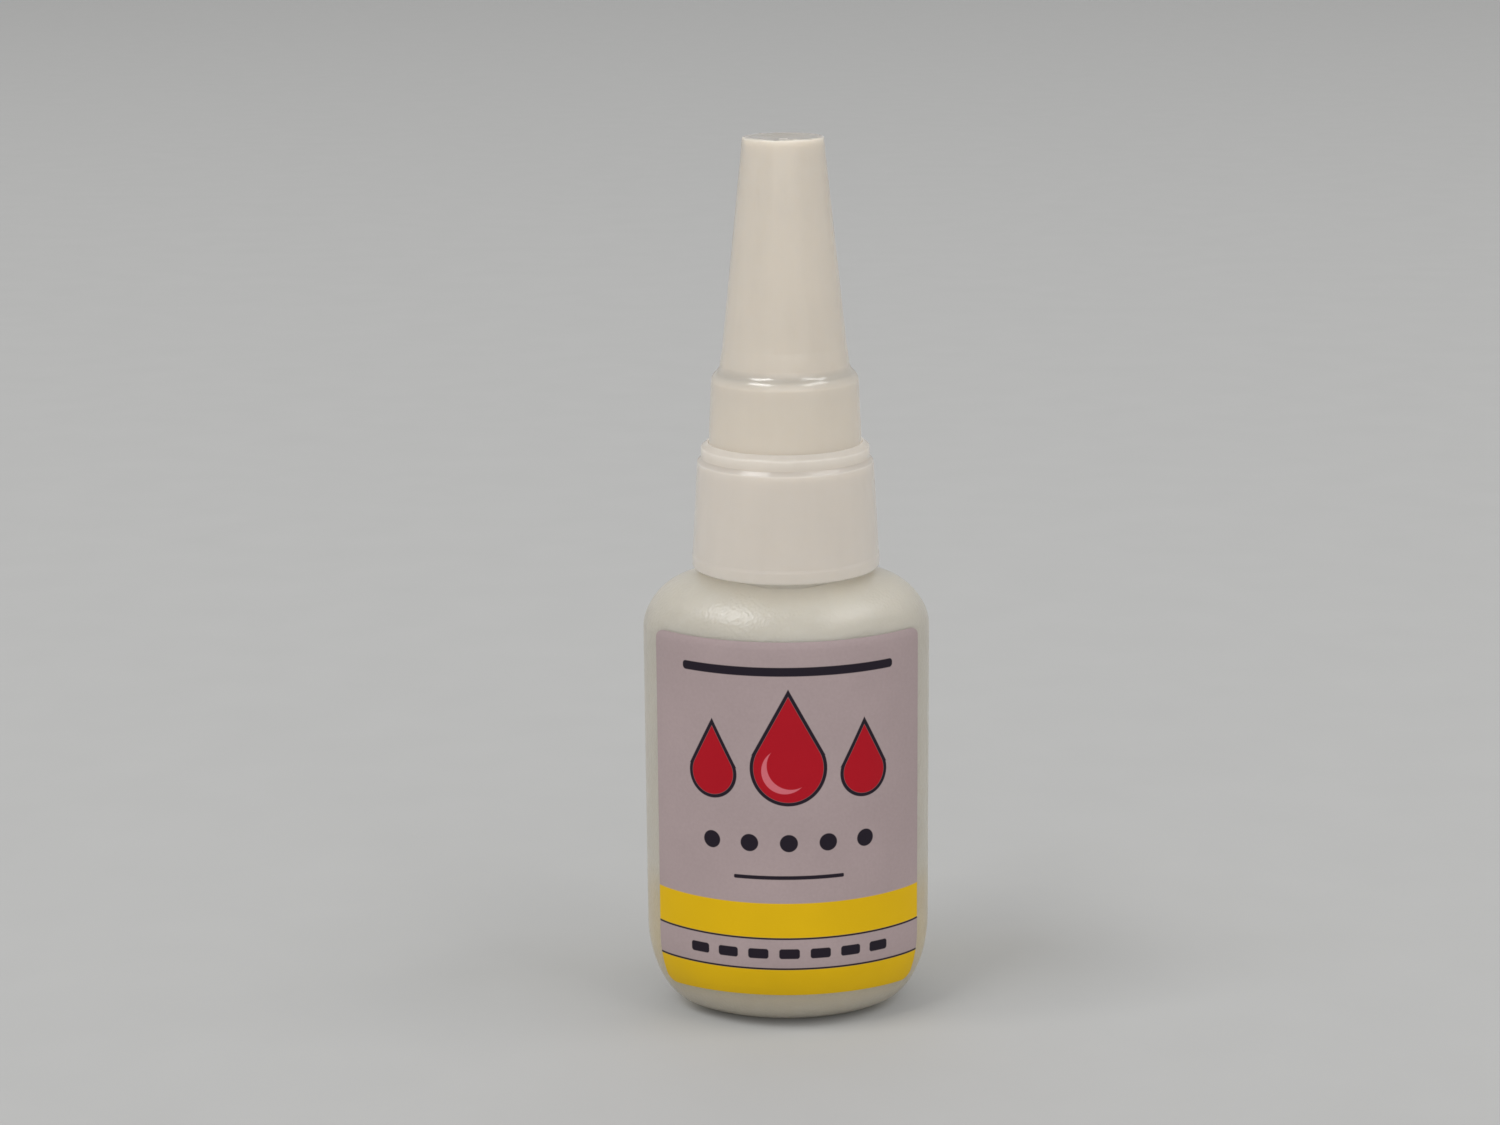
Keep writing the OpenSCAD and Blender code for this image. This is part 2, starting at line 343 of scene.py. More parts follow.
@dataclass(frozen=True)
class ThreadRib:
    """Helical rib of a right-hand screw thread."""

    root_r: float
    crest_r: float
    start_z: float
    turns: float
    pitch: float
    root_w: float = 1.1
    crest_w: float = 0.5
    # How deep its foot is sunk into the wall, the turns over which it runs out, and what is left of it there
    sunk: float = 0.15
    run_out: float = 0.5
    least_share: float = 0.02
    steps_per_turn: int = 90

    def add_to(self, draft: MeshDraft) -> None:
        """Sweeps the rib's section along its helix, running out to nothing at both ends.

        Args:
            draft: The draft that takes the faces.
        """
        steps = round(self.turns * self.steps_per_turn)
        foot_r = self.root_r - math.copysign(self.sunk, self.crest_r - self.root_r)
        rows = []
        for i in range(steps + 1):
            turned = self.turns * i / steps
            tall = min(1.0, turned / self.run_out, (self.turns - turned) / self.run_out)
            tall = max(self.least_share, tall * tall * (3.0 - 2.0 * tall))
            angle = TURN * turned
            z = self.start_z + self.pitch * turned
            crest = self.root_r + (self.crest_r - self.root_r) * tall
            section = [
                (foot_r, z - self.root_w / 2.0),
                (self.root_r, z - self.root_w / 2.0),
                (crest, z - self.crest_w / 2.0),
                (crest, z + self.crest_w / 2.0),
                (self.root_r, z + self.root_w / 2.0),
                (foot_r, z + self.root_w / 2.0),
            ]
            rows.append(draft.ring((r * math.cos(angle), r * math.sin(angle), at) for r, at in section))
        draft.rod(rows)


@dataclass(frozen=True)
class SkinColumn:
    """One upright line of the body's skin, placed on an arc of the oval plan."""

    cx: float
    cy: float
    radius: float
    angle: float
    ridge: float = 0.0

    def at(self, inset: float) -> Point2:
        """Gives the column's place in the plan, moved inwards by inset."""
        reach = self.radius - inset
        return self.cx + reach * math.cos(self.angle), self.cy + reach * math.sin(self.angle)


@dataclass(frozen=True)
class RoundedEdge:
    """Quarter of an ellipse that rounds the body's upright wall into its top or its base."""

    reach: float
    tall: float

    def inset(self, past: float) -> float:
        """Gives how far the skin is drawn in at a height past the straight wall."""
        return self.reach * (1.0 - math.sqrt(max(0.0, 1.0 - (past / self.tall) ** 2)))

    def rise(self, inset: float) -> float:
        """Gives the height past the straight wall at which the skin is drawn in by an inset."""
        short = 1.0 - min(inset, self.reach) / self.reach
        return self.tall * math.sqrt(1.0 - short * short)

    def lean(self, past: float) -> float:
        """Gives the skin's slope from upright at a height past the straight wall.

        Args:
            past: The height past the wall.

        Returns:
            The sine of the slope.
        """
        share = min(1.0, past / self.tall)
        level, upright = share / self.tall, math.sqrt(1.0 - share * share) / self.reach
        return level / math.hypot(level, upright)

    def inner(self, wall: float) -> "RoundedEdge":
        """Gives the same edge moved inwards by a wall."""
        return RoundedEdge(self.reach - wall, self.tall - wall)

    def levels(self, end: float, steps: int) -> list[Point2]:
        """Lists places down the edge, from the wall to a last inset.

        Args:
            end: The last inset.
            steps: Steps between the places.

        Returns:
            Inset and height past the straight wall of each.
        """
        last = math.acos(max(0.0, 1.0 - end / self.reach))
        turns = [last * i / steps for i in range(steps + 1)]
        return [(self.reach * (1.0 - math.cos(a)), self.tall * math.sin(a)) for a in turns]


@dataclass(frozen=True)
class OvalBody:
    """True outer form of the body: an oval plan of four tangent arcs, rounded at heel and shoulder."""

    width: float
    depth: float
    height: float
    side_r: float = 9.95
    heel: RoundedEdge = RoundedEdge(reach=6.1, tall=9.8)
    shoulder: RoundedEdge = RoundedEdge(reach=8.0, tall=6.7)
    face_steps: int = 52
    side_steps: int = 34
    # Mean and least depth of the moulded skin inside the true form
    sink: float = 0.055
    least_sink: float = 0.004
    # How much the skin sways, over what length, and how fast up the wall against across it
    sway: float = 0.03
    sway_pitch: float = 9.0
    sway_rise: float = 0.6
    # Turn from the parting line in degrees, and the ridge's share of height there
    ridge_shares: tuple[Point2, ...] = ((0.0, 1.0), (0.4, 1.0), (0.85, 0.4), (1.5, 0.0))
    # Turn beside the parting line that has no other column, against the ridge's own
    ridge_room: float = 1.5

    @property
    def wall_top(self) -> float:
        """Height at which the upright wall turns into the shoulder."""
        return self.height - self.shoulder.tall

    @property
    def side_c(self) -> float:
        """Distance of the side arcs' centres from the axis."""
        return self.width / 2.0 - self.side_r

    @property
    def face_r(self) -> float:
        """Radius of the front and back arcs."""
        half = self.depth / 2.0
        return (self.side_c**2 + half**2 - self.side_r**2) / (2.0 * (half - self.side_r))

    @property
    def face_c(self) -> float:
        """Distance of the front and back arcs' centres from the axis."""
        return self.face_r - self.depth / 2.0

    @property
    def face_a(self) -> float:
        """Half the turn of the front and back arcs."""
        return math.atan2(self.side_c, self.face_c)

    def columns(self) -> list[SkinColumn]:
        """Spreads columns round the plan, close together at the two parting lines.

        Returns:
            The columns, anticlockwise from the front's left end.
        """
        side_a = QUARTER - self.face_a
        plain = [side_a * (2.0 * i / self.side_steps - 1.0) for i in range(self.side_steps)]
        clear = self.ridge_room * math.radians(self.ridge_shares[-1][0])
        side = [(a, 0.0) for a in plain if abs(a) > clear]
        for turn, share in self.ridge_shares:
            side += [(math.radians(sign * turn), share) for sign in ((-1, 1) if turn else (1,))]
        side.sort()
        face = [self.face_a * (2.0 * i / self.face_steps - 1.0) for i in range(self.face_steps)]
        return (
            [SkinColumn(0.0, self.face_c, self.face_r, a - QUARTER) for a in face]
            + [SkinColumn(self.side_c, 0.0, self.side_r, a, ridge) for a, ridge in side]
            + [SkinColumn(0.0, -self.face_c, self.face_r, a + QUARTER) for a in face]
            + [SkinColumn(-self.side_c, 0.0, self.side_r, a + math.pi, ridge) for a, ridge in side]
        )

    def inset_at(self, x: float, y: float) -> float:
        """Gives how far a point of the plan lies inside the outline.

        Args:
            x: The point's place across.
            y: The point's place front to back.

        Returns:
            The distance inwards.
        """
        face = math.atan2(abs(x), abs(y) + self.face_c)
        if face <= self.face_a:
            return self.face_r - math.hypot(x, abs(y) + self.face_c)
        return self.side_r - math.hypot(abs(x) - self.side_c, y)

    def height_over(self, x: float, y: float) -> float:
        """Gives the shoulder's height over a point of the plan."""
        return self.wall_top + self.shoulder.rise(self.inset_at(x, y))

    def inset_at_height(self, z: float) -> float:
        """Gives how far the skin is drawn in at a height by the heel or the shoulder."""
        below, above = max(0.0, self.heel.tall - z), max(0.0, z - self.wall_top)
        return self.heel.inset(below) + self.shoulder.inset(above)

    def slope_at_height(self, z: float) -> float:
        """Gives how steeply the skin looks up, as the sine of its normal."""
        below, above = max(0.0, self.heel.tall - z), max(0.0, z - self.wall_top)
        return self.shoulder.lean(above) - self.heel.lean(below)

    def skin_sink(self, x: float, y: float, z: float) -> float:
        """Gives how far the moulded skin lies inside the true form."""
        return self.sink + self.sway * noise.noise(Vector((x, y, self.sway_rise * z)) / self.sway_pitch)

    def front_angle(self, along: float) -> SkinColumn:
        """Finds the front column at a distance along the skin from the middle.

        Args:
            along: Length along the plan, to the right of the middle.

        Returns:
            The column there.
        """
        face_len = self.face_r * self.face_a
        if abs(along) <= face_len:
            return SkinColumn(0.0, self.face_c, self.face_r, along / self.face_r - QUARTER)
        turn = (abs(along) - face_len) / self.side_r - (QUARTER - self.face_a)
        if along > 0.0:
            return SkinColumn(self.side_c, 0.0, self.side_r, turn)
        return SkinColumn(-self.side_c, 0.0, self.side_r, math.pi - turn)

    def along_front(self, x: float) -> float:
        """Gives the length along the front skin from the middle to a place across.

        Args:
            x: The place across.

        Returns:
            The length, below zero to the left.
        """
        face_x = self.face_r * math.sin(self.face_a)
        if abs(x) <= face_x:
            return self.face_r * math.asin(x / self.face_r)
        turn = QUARTER - self.face_a - math.acos((abs(x) - self.side_c) / self.side_r)
        return math.copysign(self.face_r * self.face_a + self.side_r * turn, x)


class NodeLoom:
    """Adds nodes to a tree and wires them, so that a pattern reads as a formula."""

    def __init__(self, tree: bpy.types.NodeTree) -> None:
        """Takes the tree that the nodes go into."""
        self.tree = tree

    def node(self, kind: str, **settings: object) -> bpy.types.Node:
        """Adds a node.

        Args:
            kind: Blender's name for the node.
            settings: Properties to set on it.

        Returns:
            The node.
        """
        made = self.tree.nodes.new(kind)
        for name, value in settings.items():
            setattr(made, name, value)
        return made

    def feed(self, socket: Socket, value: Feed | Sequence[float]) -> None:
        """Wires another socket into a socket, or sets its value.

        Args:
            socket: The socket to feed.
            value: The other socket, or the value.
        """
        if isinstance(value, bpy.types.NodeSocket):
            self.tree.links.new(value, socket)
        else:
            socket.default_value = value

    def fill(self, node: bpy.types.Node, values: dict[str, Feed | Sequence[float]]) -> None:
        """Feeds several of a node's inputs by their names."""
        for name, value in values.items():
            self.feed(node.inputs[name], value)

    def math(self, operation: str, *values: Feed, clamp: bool = False) -> Socket:
        """Adds a Math node and gives its result.

        Args:
            operation: Blender's name for the operation.
            values: Sockets or numbers that it works on.
            clamp: Whether the result is kept from 0 to 1.

        Returns:
            The result's socket.
        """
        made = self.node("ShaderNodeMath", operation=operation, use_clamp=clamp)
        for socket, value in zip(made.inputs, values):
            self.feed(socket, value)
        return made.outputs[0]

    def noise(
        self, place: Socket, size_mm: float, detail: float = 2.0, stretch: Point3 = (1.0, 1.0, 1.0)
    ) -> Socket:
        """Adds a noise whose blotches have a real size.

        Args:
            place: The object's own coordinates.
            size_mm: Size of the largest blotches.
            detail: Octaves of finer noise.
            stretch: How much finer the noise is along each axis.

        Returns:
            Its value, about one half on average.
        """
        made = self.node("ShaderNodeTexNoise", noise_dimensions="3D")
        made.inputs["Scale"].default_value = 1.0 / (size_mm * MM)
        made.inputs["Detail"].default_value = detail
        if stretch != (1.0, 1.0, 1.0):
            scaled = self.node("ShaderNodeVectorMath", operation="MULTIPLY")
            self.feed(scaled.inputs[0], place)
            scaled.inputs[1].default_value = stretch
            place = scaled.outputs[0]
        self.feed(made.inputs["Vector"], place)
        return made.outputs[0]

    def span(
        self, value: Feed, low: Feed, high: Feed, to_low: Feed, to_high: Feed, smooth: bool = False
    ) -> Socket:
        """Maps a range of values to another range and stops at its ends.

        Args:
            value: The value to map.
            low: Start of its range.
            high: End of its range.
            to_low: Result at the start.
            to_high: Result at the end.
            smooth: Whether the change eases in and out.

        Returns:
            The result's socket.
        """
        made = self.node("ShaderNodeMapRange", interpolation_type="SMOOTHSTEP" if smooth else "LINEAR")
        for socket, fed in zip(made.inputs, (value, low, high, to_low, to_high)):
            self.feed(socket, fed)
        return made.outputs[0]

    def swing(self, value: Socket, reach: float, middle: float, by: float) -> Socket:
        """Maps a noise to values that swing about a middle.

        Args:
            value: The noise, about one half on average.
            reach: How far it strays from one half.
            middle: Middle of the result.
            by: How far the result strays from it.

        Returns:
            The result's socket.
        """
        return self.span(value, 0.5 - reach, 0.5 + reach, middle - by, middle + by)

    def blend(self, share: Feed, first: Feed | Colour, second: Feed | Colour) -> Socket:
        """Mixes two colours.

        Args:
            share: Share of the second colour.
            first: The first colour.
            second: The second colour.

        Returns:
            The mixed colour's socket.
        """
        made = self.node("ShaderNodeMix", data_type="RGBA")
        self.feed(made.inputs[0], share)
        self.feed(made.inputs[MIX_FIRST], first)
        self.feed(made.inputs[MIX_SECOND], second)
        return made.outputs[MIX_RESULT]

    def shaded(self, colour: Socket | Colour, factor: Socket) -> Socket:
        """Makes a colour brighter or darker.

        Args:
            colour: The colour.
            factor: How bright it becomes, against 1.

        Returns:
            The new colour's socket.
        """
        made = self.node("ShaderNodeHueSaturation")
        self.fill(made, {"Value": factor, "Color": colour})
        return made.outputs[0]

    def bump(self, height: Socket, depth_mm: float) -> Socket:
        """Turns a height into a normal.

        Args:
            height: The height, from 0 to 1.
            depth_mm: Real depth of its full range.

        Returns:
            The normal's socket.
        """
        made = self.node("ShaderNodeBump")
        self.fill(made, {"Distance": depth_mm * MM, "Height": height})
        return made.outputs[0]


def shared_group(
    name: str, inputs: Sequence[tuple[str, str]], outputs: Sequence[tuple[str, str]]
) -> tuple[bpy.types.NodeTree, bpy.types.Node, bpy.types.Node]:
    """Starts a shader node group.

    Args:
        name: The group's name.
        inputs: Name and kind of each input.
        outputs: Name and kind of each output.

    Returns:
        The group, its input node and its output node.
    """
    group = bpy.data.node_groups.new(name, "ShaderNodeTree")
    for label, kind in inputs:
        group.interface.new_socket(name=label, in_out="INPUT", socket_type=kind)
    for label, kind in outputs:
        group.interface.new_socket(name=label, in_out="OUTPUT", socket_type=kind)
    return group, group.nodes.new("NodeGroupInput"), group.nodes.new("NodeGroupOutput")


@dataclass(frozen=True)
class MouldedSkin:
    """Skin of moulded plastic: slow clouds of colour, uneven gloss, a fine orange peel and painted shade on
    faces that look up.
    """

    cloud_mm: float = 7.0
    cloud_detail: float = 3.0
    # Streaks along the flow of the melt, and their share in the clouds
    flow_mm: float = 1.6
    flow_stretch: Point3 = (1.0, 1.0, 0.12)
    flow_share: float = 0.5
    # Fine specks of gloss, and how far they and the clouds change the roughness
    speck_mm: float = 0.32
    speck_rough: float = 0.04
    cloud_rough: float = 0.05
    peel_mm: float = 0.34
    wave_mm: float = 3.2
    wave_share: float = 0.6
    # Rise of the normal at which the painted shade on ledges starts, and at which a level face's share of it
    # starts
    ledge_shade_start: float = 0.15
    level_shade_start: float = 0.75
    # Rises of the normal between which the peel fades, and what is left of it on level faces
    calm_start: float = 0.85
    calm_end: float = 0.98
    calm_share: float = 0.15

    def group(self) -> bpy.types.NodeTree:
        """Makes the shared group.

        Rims and ledges that look up get a greyer colour: painted shade that tones down the light falling on
        them from above.

        Returns:
            The group. Its inputs are the place, the plastic's colour, the painted shade colour of ledges, the
            rise at which a ledge has its full painted shade, the share of it on level faces, how cloudy the
            colours are, the roughness and the grain's share.
        """
        inputs = (
            ("Place", VECTOR),
            ("Colour", COLOUR),
            ("Ledge Shade Colour", COLOUR),
            ("Ledge Shade Rise", FLOAT),
            ("Level Shade Share", FLOAT),
            ("Clouds", FLOAT),
            ("Roughness", FLOAT),
            ("Grain", FLOAT),
        )
        outputs = (("Colour", COLOUR), ("Roughness", FLOAT), ("Height", FLOAT))
        group, given_node, result = shared_group("moulded_skin", inputs, outputs)
        loom, given = NodeLoom(group), given_node.outputs
        place = given["Place"]
        slow = loom.noise(place, self.cloud_mm, self.cloud_detail)
        flow = loom.noise(place, self.flow_mm, stretch=self.flow_stretch)
        streaks = loom.math("MULTIPLY", loom.math("SUBTRACT", flow, 0.5), self.flow_share)
        cloud = loom.math("ADD", loom.math("SUBTRACT", slow, 0.5), streaks)

        # Painted shade: faces that look up blend towards the darker ledge colour, to tone down the light that
        # falls on them from above
        facing = loom.node("ShaderNodeSeparateXYZ")
        loom.feed(facing.inputs[0], loom.node("ShaderNodeNewGeometry").outputs["Normal"])
        upward = facing.outputs["Z"]
        risen = loom.span(upward, self.ledge_shade_start, given["Ledge Shade Rise"], 0.0, 1.0)
        level = loom.span(upward, self.level_shade_start, 1.0, 1.0, given["Level Shade Share"])
        ledge = loom.math("MULTIPLY", risen, level)
        colour = loom.blend(ledge, given["Colour"], given["Ledge Shade Colour"])

        speck = loom.math("SUBTRACT", loom.noise(place, self.speck_mm), 0.5)
        rough = loom.math("MULTIPLY_ADD", speck, self.speck_rough, given["Roughness"], clamp=True)

        peel = loom.noise(place, self.peel_mm, detail=0.0)
        waves = loom.noise(place, self.wave_mm, detail=1.0)
        calm = loom.span(upward, self.calm_start, self.calm_end, 1.0, self.calm_share)
        grain = loom.math("MULTIPLY", given["Grain"], calm)
        swell = loom.math("MULTIPLY", waves, self.wave_share)
        loom.fill(
            result,
            {
                "Colour": loom.shaded(colour, loom.math("MULTIPLY_ADD", cloud, given["Clouds"], 1.0)),
                "Roughness": loom.math("MULTIPLY_ADD", cloud, self.cloud_rough, rough, clamp=True),
                "Height": loom.math("MULTIPLY_ADD", peel, grain, swell),
            },
        )
        return group


def plain_material(name: str) -> tuple[bpy.types.Material, NodeLoom, bpy.types.Node, Socket]:
    """Starts a material.

    Args:
        name: The material's name.

    Returns:
        The material, the loom of its nodes, its shader and the object's own coordinates.
    """
    made = bpy.data.materials.new(name)
    made.use_nodes = True
    loom = NodeLoom(made.node_tree)
    place = loom.node("ShaderNodeTexCoord").outputs["Object"]
    return made, loom, made.node_tree.nodes["Principled BSDF"], place


def let_light_through(loom: NodeLoom, shader: bpy.types.Node, passing: Colour) -> None:
    """Lets part of the lamps' light through a face, onto what lies behind it.

    Args:
        loom: Where the nodes go.
        shader: The shader that every other kind of ray meets.
        passing: Share of the light that passes.
    """
    clear = loom.node("ShaderNodeBsdfTransparent")
    clear.inputs["Color"].default_value = passing
    mixed = loom.node("ShaderNodeMixShader")
    loom.feed(mixed.inputs[0], loom.node("ShaderNodeLightPath").outputs["Is Shadow Ray"])
    loom.feed(mixed.inputs[1], shader.outputs[0])
    loom.feed(mixed.inputs[2], clear.outputs[0])
    loom.feed(loom.tree.nodes["Material Output"].inputs["Surface"], mixed.outputs[0])


@dataclass(frozen=True)
class PaintedLedgeShade:
    """Painted shade: a greyer colour for rims and ledges that look up, toning down the light that falls on
    them from above.
    """

    colour: Colour
    # Rise of the normal at which the painted shade is full, and its share on level faces
    rise: float = 1.0
    level_shade_share: float = 1.0


@dataclass(frozen=True)
class PaintedInkLight:
    """Painted light: the yellow that light picks up from a film's ink and carries into the milky wall next to
    it, painted into the wall's colour.
    """

    colour: Colour
    share: float
    # Heights at which it starts, is full, fades and ends, and how far back it is full and ends
    start_z: float
    full_z: float
    fade_z: float
    end_z: float
    full_y: float
    end_y: float

    def add_to(self, loom: NodeLoom, place: Socket, colour: Socket) -> Socket:
        """Mixes the painted ink light into a piece's colour.

        Args:
            loom: Where the nodes go.
            place: The object's own coordinates.
            colour: The piece's colour.

        Returns:
            The mixed colour.
        """
        parts = loom.node("ShaderNodeSeparateXYZ")
        loom.feed(parts.inputs[0], place)
        back, up = parts.outputs["Y"], parts.outputs["Z"]
        foot = loom.span(up, self.start_z * MM, self.full_z * MM, 0.0, self.share, smooth=True)
        head = loom.span(up, self.fade_z * MM, self.end_z * MM, 1.0, 0.0, smooth=True)
        front = loom.span(back, self.full_y * MM, self.end_y * MM, 1.0, 0.0, smooth=True)
        share = loom.math("MULTIPLY", loom.math("MULTIPLY", foot, head), front)
        return loom.blend(share, colour, self.colour)


@dataclass(frozen=True, kw_only=True)
class MouldedFinish:
    """Moulded polyolefin: milky, softly glossy, with light that wanders under its skin."""

    name: str
    colour: Colour
    roughness: float
    shine: float
    scatter_mm: float
    # Share of lamp light that each face lets through
    passing: Colour
    grain: float = 0.0
    clouds: float = 0.08
    bump_mm: float = 0.012
    scatter: float = 1.0
    scatter_radius: Point3 = (1.0, 0.95, 0.88)
    # Painted shade on rims and ledges that look up
    ledge: PaintedLedgeShade | None = None
    # Painted light that a film's ink sends into the wall next to it
    painted_ink_light: PaintedInkLight | None = None

    def material(self, group: bpy.types.NodeTree) -> bpy.types.Material:
        """Builds the material.

        Args:
            group: The shared skin of moulded plastic.

        Returns:
            The material.
        """
        made, loom, shader, place = plain_material(self.name)
        # Painted shade on ledges; a finish without one keeps its own colour there
        ledge = self.ledge or PaintedLedgeShade(self.colour)
        skin = loom.node("ShaderNodeGroup", node_tree=group)
        loom.fill(
            skin,
            {
                "Place": place,
                "Colour": self.colour,
                "Ledge Shade Colour": ledge.colour,
                "Ledge Shade Rise": ledge.rise,
                "Level Shade Share": ledge.level_shade_share,
                "Clouds": self.clouds,
                "Roughness": self.roughness,
                "Grain": self.grain,
            },
        )
        colour = skin.outputs["Colour"]
        # The base colour carries the painted ledge shade, and the painted ink light where the finish has one
        loom.fill(
            shader,
            {
                "Base Color": self.painted_ink_light.add_to(loom, place, colour) if self.painted_ink_light else colour,
                "Roughness": skin.outputs["Roughness"],
                "Normal": loom.bump(skin.outputs["Height"], self.bump_mm),
                "Subsurface Weight": self.scatter,
                "Subsurface Radius": self.scatter_radius,
                "Subsurface Scale": self.scatter_mm * MM,
                "Specular IOR Level": self.shine,
            },
        )
        let_light_through(loom, shader, self.passing)
        return made


class Artwork:
    """Draws flat shapes by their distances in millimetres, as nodes."""

    EDGE = 0.05

    def __init__(self, loom: NodeLoom, across: Socket, up: Socket) -> None:
        """Takes the tree and the two flat coordinates of the label.

        Args:
            loom: Where the nodes go.
            across: Distance to the right of the label's middle.
            up: Distance above its lower edge.
        """
        self.loom, self.across, self.up = loom, across, up
        self.side = loom.math("ABSOLUTE", across)

    def ink(self, distance: Socket) -> Socket:
        """Turns a distance from an outline into a mask of what lies inside."""
        return self.loom.span(distance, -self.EDGE, self.EDGE, 1.0, 0.0, smooth=True)

    def either(self, *distances: Socket) -> Socket:
        """Joins shapes.

        Args:
            distances: Distances from the shapes.

        Returns:
            The distance from the nearest.
        """
        joined = distances[0]
        for other in distances[1:]:
            joined = self.loom.math("MINIMUM", joined, other)
        return joined

    def grown(self, distance: Socket, by: float) -> Socket:
        """Grows a shape by an even margin."""
        return self.loom.math("SUBTRACT", distance, by)

    def band(self, low: float, high: float) -> Socket:
        """Gives the distance from a band that runs right across the label."""
        middle = self.loom.math("SUBTRACT", self.up, (low + high) / 2.0)
        return self.loom.math("SUBTRACT", self.loom.math("ABSOLUTE", middle), (high - low) / 2.0)

    def bar(
        self, y: float, half_w: float, half_h: float, round_r: float, across: Socket | None = None
    ) -> Socket:
        """Gives the distance from a bar with round corners.

        Args:
            y: Its middle's height.
            half_w: Half its width.
            half_h: Half its height.
            round_r: Radius of its corners.
            across: Another coordinate across, such as a repeated one.

        Returns:
            The distance.
        """
        loom = self.loom
        from_x = loom.math("ABSOLUTE", across) if across else self.side
        from_y = loom.math("ABSOLUTE", loom.math("SUBTRACT", self.up, y))
        out_x = loom.math("SUBTRACT", from_x, half_w - round_r)
        out_y = loom.math("SUBTRACT", from_y, half_h - round_r)
        past_x, past_y = loom.math("MAXIMUM", out_x, 0.0), loom.math("MAXIMUM", out_y, 0.0)
        squares = loom.math("MULTIPLY_ADD", past_x, past_x, loom.math("MULTIPLY", past_y, past_y))
        within = loom.math("MINIMUM", loom.math("MAXIMUM", out_x, out_y), 0.0)
        return loom.math("SUBTRACT", loom.math("ADD", loom.math("SQRT", squares), within), round_r)

    def disc(self, x: float, y: float, radius: float, across: Socket | None = None) -> Socket:
        """Gives the distance from a disc.

        Args:
            x: Its middle across.
            y: Its middle's height.
            radius: Its radius.
            across: Another coordinate across, such as a repeated one.

        Returns:
            The distance.
        """
        loom = self.loom
        dx, dy = loom.math("SUBTRACT", across or self.across, x), loom.math("SUBTRACT", self.up, y)
        squares = loom.math("MULTIPLY_ADD", dx, dx, loom.math("MULTIPLY", dy, dy))
        return loom.math("SUBTRACT", loom.math("SQRT", squares), radius)

    def drop(self, y: float, radius: float, tip: float, across: Socket | None = None) -> Socket:
        """Gives the distance from a drop that stands on its round end.

        Args:
            y: Height of the round end's middle.
            radius: Radius of the round end.
            tip: Height of the tip.
            across: Another coordinate across, such as a repeated one.

        Returns:
            The distance.
        """
        loom = self.loom
        lean = math.asin(radius / (tip - y))
        side = loom.math("ABSOLUTE", across) if across else self.side
        below_tip = loom.math("SUBTRACT", self.up, tip)
        slant = loom.math("MULTIPLY", below_tip, math.sin(lean))
        flank = loom.math("MULTIPLY_ADD", side, math.cos(lean), slant)
        foot = loom.math("SUBTRACT", y + radius * math.sin(lean), self.up)
        return self.either(self.disc(0.0, y, radius, across), loom.math("MAXIMUM", flank, foot))

    def repeated(self, pitch: float) -> Socket:
        """Gives a coordinate across that starts again at every pitch."""
        steps = self.loom.math("ROUND", self.loom.math("DIVIDE", self.across, pitch))
        return self.loom.math("MULTIPLY_ADD", steps, -pitch, self.across)

    def within(self, distance: Socket, half: float) -> Socket:
        """Keeps a shape to the middle of the label."""
        return self.loom.math("MAXIMUM", distance, self.loom.math("SUBTRACT", self.side, half))

    def outside(self, distance: Socket) -> Socket:
        """Gives the distance from what lies outside a shape."""
        return self.loom.math("MULTIPLY", distance, -1.0)


